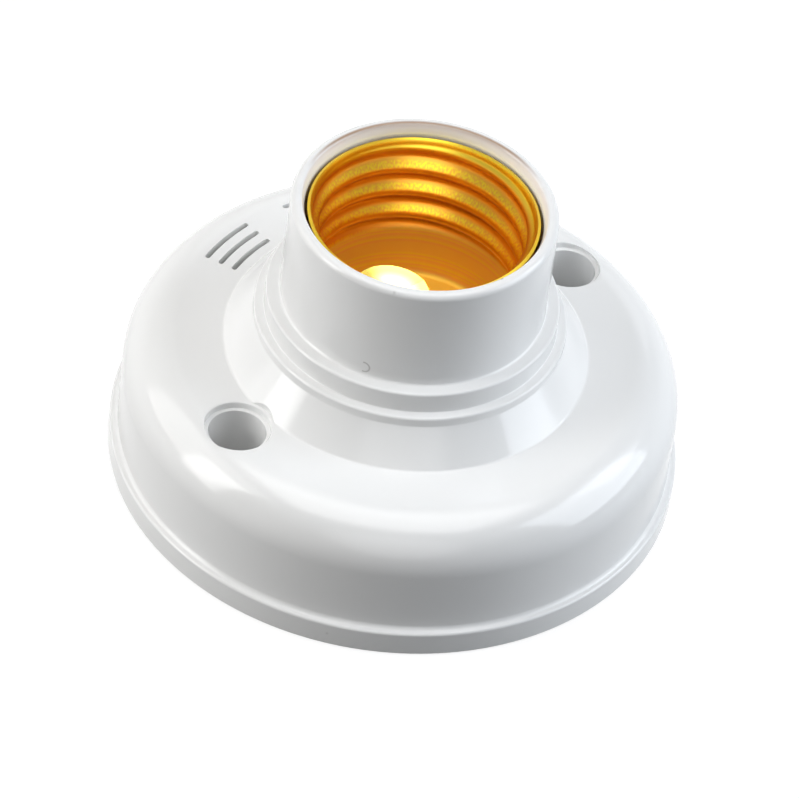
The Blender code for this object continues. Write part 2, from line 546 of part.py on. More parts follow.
def build_centre_contact():
    """The sprung leaf: a leg down through the block, a sloping blade and a round tip."""
    half = LEAF_THICKNESS / 2
    root, tip = -LEAF_ROOT_OFFSET, LEAF_TIP_CENTRE + LEAF_WIDTH / 2
    blade_end = LEAF_HINGE_HEIGHT + LEAF_RISE
    leg_bottom = FLOOR_BOTTOM - LEAF_LEG_END
    slope = math.atan2(LEAF_RISE, LEAF_TIP_CENTRE + LEAF_ROOT_OFFSET)
    lean = half * math.tan(slope / 2)
    side = [(root - half, leg_bottom), (root + half, leg_bottom), (root + half, LEAF_HINGE_HEIGHT - half),
            (LEAF_TIP_CENTRE + lean, blade_end - half), (tip, blade_end + LEAF_TIP_RISE - half),
            (tip, blade_end + LEAF_TIP_RISE + half), (LEAF_TIP_CENTRE - lean, blade_end + half),
            (root - half * math.cos(slope), LEAF_HINGE_HEIGHT + half)]
    bm = bmesh.new()
    add_prism(bm, side, -LEAF_WIDTH, LEAF_WIDTH)
    # The prism rises along its local Z, so it's turned to make that the strip's width along X.
    turn = Matrix(((0, 0, 1), (1, 0, 0), (0, 1, 0)))
    bmesh.ops.transform(bm, matrix=turn.to_4x4(), verts=bm.verts[:])
    hinge = Vector((0.0, root, LEAF_HINGE_HEIGHT))
    bmesh.ops.translate(bm, vec=-hinge, verts=bm.verts[:])
    leaf = add_object("centre_contact", bm, CONTACT_BRASS)
    leaf.location = hinge

    neck, wide = LEAF_ROOT_WIDTH / 2, LEAF_WIDTH / 2
    neck_end = root + LEAF_ROOT_WIDTH / 4
    flare_end = neck_end + (wide - neck)
    tip_arc = arc((0.0, LEAF_TIP_CENTRE), wide, 0, 180, 14)
    outline = [(neck, root - LEAF_THICKNESS), (neck, neck_end), (wide, flare_end), *tip_arc,
               (-wide, flare_end), (-neck, neck_end), (-neck, root - LEAF_THICKNESS)]
    bm = bmesh.new()
    add_prism(bm, outline, leg_bottom - WALL, blade_end + WALL)
    combine(leaf, helper("leaf_outline", bm), "INTERSECT")


def rivet_profile(low, high):
    """Section of a rivet whose two domed heads start at the two heights."""
    shank, head, rise = RIVET_RADIUS, RIVET_HEAD_RADIUS, RIVET_HEAD_HEIGHT
    crown = head * 0.62
    return [(0.0, low - rise), (crown, low - rise), (head, low - rise * 0.4), (head, low), (shank, low),
            (shank, high), (head, high), (head, high + rise * 0.4), (crown, high + rise), (0.0, high + rise)]


def build_floor_fittings():
    """Rivets through the shell, block and floor, the shell's solder tag and a washer."""
    head_low, head_high = TAG_BOTTOM - CLEAR, SHELL_FLOOR + CLEAR
    for name, side in (("shell_rivet_right", 1), ("shell_rivet_left", -1)):
        place = (side * RIVET_OFFSET, 0.0)
        add_object(name, turned(rivet_profile(head_low, head_high), 10, place), CONTACT_BRASS)

    half = TAG_WIDTH / 2
    bm = bmesh.new()
    round_end = arc((RIVET_OFFSET, 0.0), half, 90, 270, 8)
    reach = RIVET_OFFSET + TAG_LENGTH - half
    add_prism(bm, [*round_end, (reach, -half), (reach, half)], TAG_BOTTOM, TAG_TOP)
    tag = add_object("shell_tag", bm, CONTACT_BRASS)
    bm = bmesh.new()
    add_cylinder(bm, RIVET_HOLE_RADIUS, TAG_BOTTOM - WALL, TAG_TOP + WALL, 12, (RIVET_OFFSET, 0.0))
    combine(tag, helper("tag_hole", bm), "DIFFERENCE")

    ring = [(RIVET_HOLE_RADIUS, TAG_BOTTOM), (WASHER_RADIUS, TAG_BOTTOM), (WASHER_RADIUS, TAG_TOP),
            (RIVET_HOLE_RADIUS, TAG_TOP)]
    add_object("rivet_washer", turned(ring, 16, (-RIVET_OFFSET, 0.0)), PLATED_STEEL)


def build_board():
    """The ring-shaped circuit board that hangs from the housing's posts."""
    limit = BOARD_CORNER_RADIUS
    side_angle = math.degrees(math.acos(BOARD_HALF_WIDTH / limit))
    front_angle = math.degrees(math.asin(BOARD_FRONT / limit))
    rear_angle = math.degrees(math.asin(BOARD_REAR / limit))
    corners = ((side_angle, front_angle), (180 - front_angle, 180 - side_angle),
               (180 + side_angle, 180 + rear_angle), (360 - rear_angle, 360 - side_angle))
    outline = []
    for start, end in corners:
        outline += arc((0.0, 0.0), limit, start, end, 3)
    bm = bmesh.new()
    add_prism(bm, outline, BOARD_BOTTOM, BOARD_TOP)
    board = add_object("sensor_board", bm, BOARD_GREEN)
    holes = bmesh.new()
    add_cylinder(holes, BOARD_EYE_RADIUS, BOARD_BOTTOM - WALL, BOARD_TOP + WALL, 24)
    for place in board_screw_places():
        add_cylinder(holes, BOARD_SCREW_RADIUS + CLEAR, BOARD_BOTTOM - WALL, BOARD_TOP + WALL, 12, place)
    combine(board, helper("board_holes", holes), "DIFFERENCE")

    head_top = BOARD_BOTTOM - CLEAR
    head_bottom = head_top - BOARD_SCREW_HEAD_HEIGHT
    edge = BOARD_SCREW_HEAD_HEIGHT * 0.35
    profile = [(0.0, head_bottom), (BOARD_SCREW_HEAD_RADIUS - edge, head_bottom),
               (BOARD_SCREW_HEAD_RADIUS, head_bottom + edge), (BOARD_SCREW_HEAD_RADIUS, head_top),
               (BOARD_SCREW_RADIUS, head_top), (BOARD_SCREW_RADIUS, BOARD_TOP + BOARD_SCREW_BITE - edge),
               (BOARD_SCREW_RADIUS - edge, BOARD_TOP + BOARD_SCREW_BITE), (0.0, BOARD_TOP + BOARD_SCREW_BITE)]
    for number, place in enumerate(board_screw_places(), 1):
        add_object(f"board_screw_{number}", turned(profile, 10, place), PLATED_STEEL)


def build_cover():
    """The back cover with its cable hole, terminal window, cut-outs and ribs, and its three screws."""
    bm = bmesh.new()
    add_cylinder(bm, COVER_RADIUS, COVER_BOTTOM, COVER_TOP, 42)
    cover = add_object("back_cover", bm, COVER_PLASTIC)
    collar_radius = CABLE_HOLE_RADIUS + CABLE_COLLAR_WALL
    middle = (COVER_BOTTOM + COVER_TOP) / 2
    ribs = bmesh.new()
    for quarter in range(4):
        low = (collar_radius * 0.93, -COVER_RIB_WIDTH / 2, middle)
        high = (COVER_RIB_REACH, COVER_RIB_WIDTH / 2, COVER_TOP + COVER_RIB_RISE)
        before = set(ribs.verts)
        add_box(ribs, low, high)
        turn = Matrix.Rotation(math.radians(45 + 90 * quarter), 4, "Z")
        bmesh.ops.transform(ribs, matrix=turn, verts=[v for v in ribs.verts if v not in before])
    combine(cover, helper("cover_ribs", ribs), "UNION")
    bm = bmesh.new()
    add_cylinder(bm, collar_radius, middle, COVER_TOP + CABLE_COLLAR_RISE, 28)
    combine(cover, helper("cable_collar", bm), "UNION")

    holes = bmesh.new()
    below, above = COVER_BOTTOM - WALL, COVER_TOP + CABLE_COLLAR_RISE + WALL
    add_cylinder(holes, CABLE_HOLE_RADIUS, below, above, 28)
    window = TERMINAL_LENGTH / 2 + CLEAR
    window_front = -TERMINAL_REAR + TERMINAL_DEPTH + CLEAR
    add_box(holes, (-window, -TERMINAL_REAR - CLEAR, below), (window, window_front, above))
    for place in well_places():
        add_cylinder(holes, WELL_TUBE_RADIUS + CLEAR, below, above, 20, place)
    hole_radius = COVER_SCREW_RADIUS + CLEAR
    sink_radius = COVER_SCREW_HEAD_RADIUS + CLEAR
    sink_top = COVER_BOTTOM + sink_radius - hole_radius
    for place in cover_screw_places():
        profile = [(0.0, below), (sink_radius, below), (sink_radius, COVER_BOTTOM), (hole_radius, sink_top),
                   (hole_radius, above), (0.0, above)]
        add_turned(holes, profile, 12, place)
    combine(cover, helper("cover_holes", holes), "DIFFERENCE")

    head_bottom = COVER_BOTTOM + CLEAR / 2
    neck = head_bottom + COVER_SCREW_HEAD_RADIUS - COVER_SCREW_RADIUS
    end = COVER_SEAT + COVER_SCREW_LENGTH - 2 * CLEAR
    profile = [(0.0, head_bottom), (COVER_SCREW_HEAD_RADIUS, head_bottom), (COVER_SCREW_RADIUS, neck),
               (COVER_SCREW_RADIUS, end - COVER_SCREW_RADIUS), (COVER_SCREW_RADIUS * 0.4, end), (0.0, end)]
    for number, place in enumerate(cover_screw_places(), 1):
        add_object(f"cover_screw_{number}", turned(profile, 12, place), PLATED_STEEL)


def build_terminals():
    """The terminal block under the board, with a clamp cage and a screw for each of its two poles."""
    front = -TERMINAL_REAR + TERMINAL_DEPTH
    bm = bmesh.new()
    add_box(bm, (-TERMINAL_LENGTH / 2, -TERMINAL_REAR, TERMINAL_BOTTOM),
            (TERMINAL_LENGTH / 2, front, MOUNT_PLANE))
    block = add_object("terminal_block", bm, TERMINAL_PLASTIC)
    clamp_top = CLAMP_BOTTOM + CLAMP_HEIGHT
    clamp_front = front - 2 * CLEAR
    clamp_rear = clamp_front - CLAMP_DEPTH
    clamp_y = (clamp_front + clamp_rear) / 2
    wire_height = clamp_top - WIRE_HOLE_RADIUS - 2 * CLEAR
    holes = bmesh.new()
    for side in (-1, 1):
        x = side * TERMINAL_PITCH / 2
        half = CLAMP_WIDTH / 2 + CLEAR
        add_box(holes, (x - half, clamp_rear - CLEAR, CLAMP_BOTTOM - CLEAR),
                (x + half, front + WALL, clamp_top + CLEAR))
    combine(block, helper("clamp_pockets", holes), "DIFFERENCE")
    bores = bmesh.new()
    for side in (-1, 1):
        add_cylinder(bores, TERMINAL_SCREW_HEAD_RADIUS + CLEAR, TERMINAL_BOTTOM - WALL, CLAMP_BOTTOM, 16,
                     (side * TERMINAL_PITCH / 2, clamp_y))
    combine(block, helper("terminal_bores", bores), "DIFFERENCE")

    for pole, side in (("live", -1), ("neutral", 1)):
        x = side * TERMINAL_PITCH / 2
        bm = bmesh.new()
        add_box(bm, (x - CLAMP_WIDTH / 2, clamp_rear, CLAMP_BOTTOM),
                (x + CLAMP_WIDTH / 2, clamp_front, clamp_top))
        clamp = add_object(f"terminal_clamp_{pole}", bm, CONTACT_BRASS)
        bm = bmesh.new()
        lie = Matrix.Translation((x, clamp_y, wire_height)) @ Matrix.Rotation(math.pi / 2, 4, "X")
        bmesh.ops.create_cone(bm, cap_ends=True, segments=16, radius1=WIRE_HOLE_RADIUS,
                              radius2=WIRE_HOLE_RADIUS, depth=TERMINAL_DEPTH * 2, matrix=lie)
        combine(clamp, helper(f"wire_hole_{pole}", bm), "DIFFERENCE")
        bm = bmesh.new()
        add_cylinder(bm, TERMINAL_SCREW_RADIUS + CLEAR, CLAMP_BOTTOM - WALL, wire_height, 12, (x, clamp_y))
        combine(clamp, helper(f"screw_hole_{pole}", bm), "DIFFERENCE")

        head_bottom = TERMINAL_BOTTOM + CLEAR
        head_top = head_bottom + TERMINAL_SCREW_HEAD_HEIGHT
        end = wire_height - WIRE_HOLE_RADIUS / 2
        profile = [(0.0, head_bottom), (TERMINAL_SCREW_HEAD_RADIUS, head_bottom),
                   (TERMINAL_SCREW_HEAD_RADIUS, head_top), (TERMINAL_SCREW_RADIUS, head_top),
                   (TERMINAL_SCREW_RADIUS, end), (0.0, end)]
        add_object(f"terminal_screw_{pole}", turned(profile, 14, (x, clamp_y)), PLATED_STEEL)


def lying_cylinder(name, radius, length, place, axis, look, groove=0.0):
    """A round part lying under the board along X or Y, with a rolled groove near one end if it has one."""
    top = MOUNT_PLANE
    half = length / 2
    edge = radius * 0.12
    profile = [(0.0, -half), (radius - edge, -half), (radius, -half + edge)]
    if groove:
        start = half - length * 0.18
        profile += [(radius, start - groove), (radius - groove, start), (radius, start + groove)]
    profile += [(radius, half - edge), (radius - edge, half), (0.0, half)]
    bm = turned(profile, 16)
    lie = Matrix.Rotation(math.pi / 2, 4, "Y" if axis == "X" else "X")
    bmesh.ops.transform(bm, matrix=Matrix.Translation((*place, top - radius)) @ lie, verts=bm.verts[:])
    return add_object(name, bm, look)


def soft_box(name, low, high, look, edge):
    """A moulded block with bevelled edges."""
    bm = bmesh.new()
    add_box(bm, low, high)
    bmesh.ops.bevel(bm, geom=bm.edges[:], offset=edge, segments=1, profile=0.5, affect="EDGES", material=-1)
    return add_object(name, bm, look)


def build_components():
    """The parts soldered to the board, most of them on its back."""
    front = BOARD_FRONT - FRONT_INSET
    size = (FILM_CAPACITOR_LENGTH, FILM_CAPACITOR_DEPTH, ROOM_HEIGHT - FILM_CAPACITOR_GAP)
    low, high = box_at((FILM_CAPACITOR_LENGTH / 2, front), size, MOUNT_PLANE)
    soft_box("film_capacitor", low, high, CAPACITOR_RED, FILM_CAPACITOR_DEPTH / 10)
    lying_cylinder("smoothing_capacitor", SMOOTHING_CAPACITOR_RADIUS, SMOOTHING_CAPACITOR_LENGTH,
                   (-SMOOTHING_CAPACITOR_LENGTH / 2 - CAPACITOR_SPACE, front), "X", CAN_SLEEVE,
                   groove=SMOOTHING_CAPACITOR_RADIUS / 8)
    fuse_x = -TERMINAL_LENGTH / 2 - FUSE_GAP - FUSE_RADIUS
    fuse_place = (fuse_x, -TERMINAL_REAR + TERMINAL_DEPTH / 2)
    lying_cylinder("fuse_resistor", FUSE_RADIUS, FUSE_LENGTH, fuse_place, "Y", RESISTOR_BODY)
    lying_cylinder("surge_absorber", SURGE_RADIUS, SURGE_THICKNESS, (-SIDE_COLUMN, -SURGE_BACK), "X",
                   CERAMIC_BLUE)

    bm = bmesh.new()
    flat_side = 35
    place = (-SIDE_COLUMN, -SURGE_BACK + SURGE_RADIUS + TRIAC_GAP + TRIAC_RADIUS)
    outline = arc(place, TRIAC_RADIUS, 90 + flat_side, 450 - flat_side, 16)
    add_prism(bm, outline, MOUNT_PLANE - TRIAC_HEIGHT, MOUNT_PLANE)
    add_object("triac", bm, BLACK_EPOXY)

    for number in range(4):
        column, row = number % 2, number // 2
        first_x = TERMINAL_LENGTH / 2 + DIODE_TERMINAL_GAP + DIODE_LENGTH / 2
        first_y = -TERMINAL_REAR + TERMINAL_DEPTH / 2 - (DIODE_WIDTH + DIODE_ROW_GAP) / 2
        place = (first_x + column * (DIODE_LENGTH + DIODE_GAP),
                 first_y + row * (DIODE_WIDTH + DIODE_ROW_GAP))
        low, high = box_at(place, (DIODE_LENGTH, DIODE_WIDTH, DIODE_HEIGHT), MOUNT_PLANE)
        soft_box(f"rectifier_diode_{number + 1}", low, high, BLACK_EPOXY, DIODE_HEIGHT / 9)

    chip_size = (CHIP_WIDTH, CHIP_LENGTH, CHIP_THICKNESS)
    low, high = box_at((-SIDE_COLUMN, CHIP_FORWARD), chip_size, MOUNT_PLANE - CLEAR / 2)
    bm = bmesh.new()
    add_box(bm, low, high)
    chip = add_object("sensor_chip", bm, BLACK_EPOXY)
    legs = bmesh.new()
    reach = CHIP_WIDTH / 2 + CHIP_LEG_REACH
    for leg in range(CHIP_LEGS):
        y = CHIP_FORWARD + (leg - (CHIP_LEGS - 1) / 2) * CHIP_LEG_PITCH
        leg_top = MOUNT_PLANE - CLEAR
        add_box(legs, (-SIDE_COLUMN - reach, y - CHIP_LEG_WIDTH / 2, leg_top - CHIP_LEG_THICKNESS),
                (-SIDE_COLUMN + reach, y + CHIP_LEG_WIDTH / 2, leg_top))
    combine(chip, helper("chip_legs", legs), "UNION")

    base = BOARD_TOP + CLEAR
    size = (EYE_BASE_WIDTH, EYE_BASE_WIDTH, EYE_BASE_THICKNESS)
    low, high = box_at(EYE_PLACE, size, base + EYE_BASE_THICKNESS)
    bm = bmesh.new()
    add_box(bm, low, high)
    eye = add_object("light_sensor", bm, CLEAR_EPOXY)
    dome_base = base + EYE_BASE_THICKNESS / 2
    dome_top = base + EYE_BASE_THICKNESS + EYE_RISE
    shoulder = arc((0.0, dome_top - EYE_RADIUS * 0.7), EYE_RADIUS * 0.7, 0, 90, 3)
    profile = [(0.0, dome_base), (EYE_RADIUS, dome_base), (EYE_RADIUS, dome_top - EYE_RADIUS * 0.7)]
    profile += [(radius / 0.7, height) for radius, height in shoulder[1:-1]] + [(0.0, dome_top)]
    combine(eye, helper("eye_dome", turned(profile, 16, EYE_PLACE)), "UNION")

    size = (RADAR_BOARD_THICKNESS, RADAR_BOARD_LENGTH, ROOM_HEIGHT - RADAR_BOARD_GAP)
    low, high = box_at((BOARD_HALF_WIDTH - RADAR_INSET, 0.0), size, MOUNT_PLANE)
    bm = bmesh.new()
    add_box(bm, low, high)
    add_object("radar_board", bm, RADAR_GREEN)
    size = (RADAR_SHIELD_THICKNESS, size[1] - 2 * RADAR_SHIELD_EDGE, size[2] - 2 * RADAR_SHIELD_MARGIN)
    shield_x = low[0] - CLEAR - RADAR_SHIELD_THICKNESS / 2
    low, high = box_at((shield_x, 0.0), size, high[2] - RADAR_SHIELD_MARGIN)
    soft_box("radar_shield", low, high, PLATED_STEEL, RADAR_SHIELD_THICKNESS / 5)


def build_centre_lead():
    """The insulated lead from the centre contact's leg to the board."""
    start_x = LEAF_ROOT_WIDTH / 2 + CLEAR + LEAD_RADIUS
    start_z = FLOOR_BOTTOM - CLEAR - LEAD_RADIUS
    end_z = MOUNT_PLANE - LEAD_RADIUS
    land = BOARD_EYE_RADIUS + 3 * LEAD_RADIUS
    end = Vector((*on_circle(land, -45), end_z))
    start = Vector((start_x, -LEAF_ROOT_OFFSET, start_z))
    sag = Vector((0.0, 0.0, -2 * LEAD_RADIUS))
    controls = (start, start + Vector((2.5 * MM, -0.4 * MM, 0.0)) + sag,
                end - Vector((*on_circle(4 * MM, -45), 0.0)) + sag / 3, end)
    curve = bpy.data.curves.new("centre_lead", "CURVE")
    curve.dimensions = "3D"
    curve.bevel_depth = LEAD_RADIUS
    curve.bevel_resolution = 2
    curve.use_fill_caps = True
    spline = curve.splines.new("POLY")
    steps = 9
    spline.points.add(steps)
    for step in range(steps + 1):
        t = step / steps
        weights = ((1 - t) ** 3, 3 * t * (1 - t) ** 2, 3 * t * t * (1 - t), t ** 3)
        point = sum((weight * control for weight, control in zip(weights, controls)), Vector())
        spline.points[step].co = (*point, 1.0)
    material_name, colour, roughness, metallic = LEAD_INSULATION
    curve.materials.append(finish(f"centre_lead_{material_name}", colour, roughness, metallic))
    lead = bpy.data.objects.new("centre_lead", curve)
    bpy.context.scene.collection.objects.link(lead)


def build_all():
    clear_scene()
    build_housing()
    build_thread_shell()
    build_contact_block()
    build_centre_contact()
    build_floor_fittings()
    build_board()
    build_cover()
    build_terminals()
    build_components()
    build_centre_lead()


build_all()
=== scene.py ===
# %% [markdown]
# # A lamp holder with a motion sensor, dressed for its picture
# The CAD model gives every part its size and place. This file gives them their looks: a fine white
# moulding, a rolled gold shell, a sprung contact, and the finishes of the board and fittings inside. The
# first cell loads the model, and gives a helper that finds the box of one of its parts. The dressed
# object has to stay inside that box.

import math

import bmesh
import bpy
from mathutils import Matrix, Vector


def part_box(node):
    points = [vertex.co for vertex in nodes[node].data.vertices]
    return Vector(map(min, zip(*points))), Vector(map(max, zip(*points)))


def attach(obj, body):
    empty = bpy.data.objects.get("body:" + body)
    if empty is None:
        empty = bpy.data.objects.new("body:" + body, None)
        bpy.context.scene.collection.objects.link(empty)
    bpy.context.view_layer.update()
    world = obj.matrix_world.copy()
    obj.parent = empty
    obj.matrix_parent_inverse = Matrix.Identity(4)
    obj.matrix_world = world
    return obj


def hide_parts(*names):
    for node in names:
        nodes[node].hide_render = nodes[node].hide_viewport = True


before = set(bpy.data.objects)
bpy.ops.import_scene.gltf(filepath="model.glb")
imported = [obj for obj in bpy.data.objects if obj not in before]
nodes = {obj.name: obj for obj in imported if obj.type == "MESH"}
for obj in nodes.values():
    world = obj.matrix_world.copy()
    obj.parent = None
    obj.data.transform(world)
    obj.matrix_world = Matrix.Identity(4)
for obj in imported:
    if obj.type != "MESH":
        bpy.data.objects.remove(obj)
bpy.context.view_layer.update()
MM = 0.001

# %% [markdown]
# ## Camera
# The picture was taken from above one screw well, with a long lens and the object's axis leaning a little
# to the right. A long lens flattens the circles into even ellipses. The place and turn below put every
# circle of the model on its circle in the picture, and nothing is shifted or blurred.

# %% Camera
CAMERA_PLACE = (-0.368674, -0.368674, 0.501177)
CAMERA_TURN = (46.3376, -5.8851, -39.4311)
camera_data = bpy.data.cameras.new("camera")
camera_data.lens = 263.55
camera_data.sensor_width = 36.0
camera_data.clip_start = 0.05
camera_data.clip_end = 20.0
camera = bpy.data.objects.new("camera", camera_data)
camera.location = CAMERA_PLACE
camera.rotation_euler = [math.radians(angle) for angle in CAMERA_TURN]
bpy.context.scene.collection.objects.link(camera)
bpy.context.scene.camera = camera
bpy.context.scene.view_settings.view_transform = "Standard"
print("camera distance", round(camera.location.length / MM), "mm")

# %% [markdown]
# ## Node helpers
# A material is a small graph of nodes. The first helper adds a node with its settings and inputs. The
# others make a reusable group with named sockets, and place it in a material. Groups only give out colours,
# masks and heights, and each material keeps its own shader, so the model can be exported with its finishes.


# %% Node helpers
def add_node(tree, kind, inputs=None, **settings):
    """Adds a node, sets its properties, then links or sets its inputs."""
    node = tree.nodes.new(kind)
    for name, value in settings.items():
        setattr(node, name, value)
    for name, value in (inputs or {}).items():
        socket = node.inputs[name]
        if isinstance(value, bpy.types.NodeSocket):
            tree.links.new(value, socket)
        else:
            socket.default_value = value
    return node


def new_group(name, inputs, outputs):
    """Makes an empty shader group, and returns it with its input sockets and its output node."""
    group = bpy.data.node_groups.new(name, "ShaderNodeTree")
    for socket_name, (kind, value) in inputs.items():
        socket = group.interface.new_socket(socket_name, in_out="INPUT", socket_type=kind)
        socket.default_value = value
    for socket_name, kind in outputs.items():
        group.interface.new_socket(socket_name, in_out="OUTPUT", socket_type=kind)
    start = group.nodes.new("NodeGroupInput")
    end = group.nodes.new("NodeGroupOutput")
    return group, start.outputs, end


def use_group(tree, group, inputs):
    """Places a group in a material."""
    return add_node(tree, "ShaderNodeGroup", inputs, node_tree=group)


print("node helpers ready")

# %% [markdown]
# ## One-line nodes
# Most nodes do a single sum, measure a distance, fade a value or lay one colour over another. Each of these
# helpers adds one such node and gives back its result, so a long chain of nodes reads like a recipe.

# %% One-line nodes
UNDER, OVER, MIXED = 6, 7, 2  # the colour sockets of a Mix node


def work_out(tree, operation, *values):
    """A Math node, and its number."""
    return add_node(tree, "ShaderNodeMath", dict(enumerate(values)), operation=operation).outputs[0]


def multiply_vector(tree, vector, by):
    """A Vector Math node that multiplies, and its vector."""
    return add_node(tree, "ShaderNodeVectorMath", {0: vector, 1: by}, operation="MULTIPLY").outputs["Vector"]


def measure(tree, operation, *vectors):
    """A Vector Math node that gives a number, such as a distance."""
    node = add_node(tree, "ShaderNodeVectorMath", dict(enumerate(vectors)), operation=operation)
    return node.outputs["Value"]


def fade(tree, value, start, stop, low=0.0, high=1.0, kind="SMOOTHSTEP"):
    """Goes from low to high while the value goes from start to stop, softly unless the kind is LINEAR."""
    inputs = {"Value": value, "From Min": start, "From Max": stop, "To Min": low, "To Max": high}
    return add_node(tree, "ShaderNodeMapRange", inputs, interpolation_type=kind).outputs[0]


def lay_over(tree, mask, under, over):
    """Lays one colour over another, as far as the mask says."""
    inputs = {"Factor": mask, UNDER: under, OVER: over}
    return add_node(tree, "ShaderNodeMix", inputs, data_type="RGBA").outputs[MIXED]


def noise(tree, vector, scale, detail):
    """A Noise Texture, and its value."""
    inputs = {"Vector": vector, "Scale": scale, "Detail": detail}
    return add_node(tree, "ShaderNodeTexNoise", inputs).outputs["Fac"]


print("one-line nodes ready")

# %% [markdown]
# ## A new material
# Numbers that are the same all over a surface, such as its IOR, are set on the shader itself. That keeps
# them when the model is exported, while a number that reached the shader through other nodes would be lost.


# %% New material
def new_material(name, roughness, metallic=0.0, **constants):
    """Makes a material, and returns it with its tree and its shader."""
    material = bpy.data.materials.new(name)
    material.use_nodes = True
    shader = material.node_tree.nodes["Principled BSDF"]
    shader.inputs["Roughness"].default_value = roughness
    shader.inputs["Metallic"].default_value = metallic
    for socket, value in constants.items():
        shader.inputs[socket.replace("_", " ")].default_value = value
    return material, material.node_tree, shader


print("material helper ready")

# %% [markdown]
# ## An uneven surface
# Real surfaces are never perfectly even. This group makes a slow change of tone and of gloss with a fine
# ripple on top, as a moulded or plated skin has. It reads the object's own coordinates, so nothing slides
# when the view changes. A noise texture is enough here, because the real unevenness has no direction
# either.

# %% Surface group
surface_group, start, end = new_group(
    "surface_grain",
    {
        "Colour": ("NodeSocketColor", (0.8, 0.8, 0.8, 1.0)),
        "Tone Change": ("NodeSocketFloat", 0.03),
        "Patch Size": ("NodeSocketFloat", 60.0),
        "Grain Size": ("NodeSocketFloat", 1500.0),
        "Stretch": ("NodeSocketVector", (1.0, 1.0, 1.0)),
        "Gloss": ("NodeSocketFloat", 0.2),
        "Gloss Change": ("NodeSocketFloat", 0.05),
    },
    {"Colour": "NodeSocketColor", "Roughness": "NodeSocketFloat", "Height": "NodeSocketFloat"},
)
tree = surface_group
place = add_node(tree, "ShaderNodeTexCoord").outputs["Object"]
stretched = multiply_vector(tree, place, start["Stretch"])
patches = noise(tree, place, scale=start["Patch Size"], detail=3.0)
grain = noise(tree, stretched, scale=start["Grain Size"], detail=2.0)
centred = work_out(tree, "SUBTRACT", patches, 0.5)
tone = work_out(tree, "MULTIPLY_ADD", centred, start["Tone Change"], 1.0)
coloured = add_node(tree, "ShaderNodeVectorMath", {0: start["Colour"], "Scale": tone}, operation="SCALE")
both = work_out(tree, "ADD", patches, grain)
evened = work_out(tree, "SUBTRACT", both, 1.0)
gloss = work_out(tree, "MULTIPLY_ADD", evened, start["Gloss Change"], start["Gloss"])
tree.links.new(coloured.outputs[0], end.inputs["Colour"])
tree.links.new(gloss, end.inputs["Roughness"])
tree.links.new(grain, end.inputs["Height"])
print("surface group with", len(tree.nodes), "nodes")

# %% [markdown]
# ## A small mark
# Handling leaves specks and scuffs, and a thin line can stand for a painted reflection. This group draws one
# of them at a chosen place: a dot, or a ring when it's given a radius. A ring can be kept on one side of a
# plane only, which turns it into an arc. The mark fades at its edge, because a hard edge would look like a
# sticker.

# %% Mark group
mark_group, start, end = new_group(
    "small_mark",
    {
        "Place": ("NodeSocketVector", (0.0, 0.0, 0.0)),
        "Radius": ("NodeSocketFloat", 0.0),
        "Width": ("NodeSocketFloat", 0.0003),
        "Keep Towards": ("NodeSocketVector", (0.0, 0.0, 1.0)),
        "Keep Beyond": ("NodeSocketFloat", -1.0),
        "Keep Fade": ("NodeSocketFloat", 0.0001),
        "Strength": ("NodeSocketFloat", 1.0),
    },
    {"Mask": "NodeSocketFloat"},
)
tree = mark_group
place = add_node(tree, "ShaderNodeTexCoord").outputs["Object"]
away = measure(tree, "DISTANCE", place, start["Place"])
from_ring = work_out(tree, "SUBTRACT", away, start["Radius"])
distance = work_out(tree, "ABSOLUTE", from_ring)
drawn_mark = fade(tree, distance, start=0.0, stop=start["Width"], low=start["Strength"], high=0.0)
along = measure(tree, "DOT_PRODUCT", place, start["Keep Towards"])
full = work_out(tree, "ADD", start["Keep Beyond"], start["Keep Fade"])
kept = fade(tree, along, start=start["Keep Beyond"], stop=full)
mask = work_out(tree, "MULTIPLY", drawn_mark, kept)
tree.links.new(mask, end.inputs["Mask"])
print("mark group with", len(tree.nodes), "nodes")

# %% [markdown]
# ## A finish in one call
# Most finishes differ only in their numbers, so one function joins the surface group to a shader. The grain
# becomes a bump, which bends the light without adding a single face. A second bump can lie on top of the
# first.


# %% Finish function
def finish(name, colour, gloss, metallic=0.0, tone=0.04, patch=60.0, grain=1500.0, bump=0.15, depth=0.00002,
           stretch=(1.0, 1.0, 1.0), gloss_change=0.06, **constants):
    """A material of one colour with an uneven tone, an uneven gloss and a fine grain."""
    material, tree, shader = new_material(name, gloss, metallic, **constants)
    surface = use_group(
        tree,
        surface_group,
        {
            "Colour": (*colour, 1.0),
            "Tone Change": tone,
            "Patch Size": patch,
            "Grain Size": grain,
            "Stretch": stretch,
            "Gloss": gloss,
            "Gloss Change": gloss_change,
        },
    )
    height = surface.outputs["Height"]
    relief = add_node(tree, "ShaderNodeBump", {"Strength": bump, "Distance": depth, "Height": height})
    tree.links.new(surface.outputs["Colour"], shader.inputs["Base Color"])
    tree.links.new(surface.outputs["Roughness"], shader.inputs["Roughness"])
    tree.links.new(relief.outputs["Normal"], shader.inputs["Normal"])
    return material, tree, shader, surface


def add_relief(tree, shader, height, strength, depth):
    """Lays a second bump over the one that a finish already has."""
    skin = shader.inputs["Normal"].links[0].from_socket
    inputs = {"Strength": strength, "Distance": depth, "Height": height, "Normal": skin}
    relief = add_node(tree, "ShaderNodeBump", inputs)
    tree.links.new(relief.outputs["Normal"], shader.inputs["Normal"])


print("finish function ready")
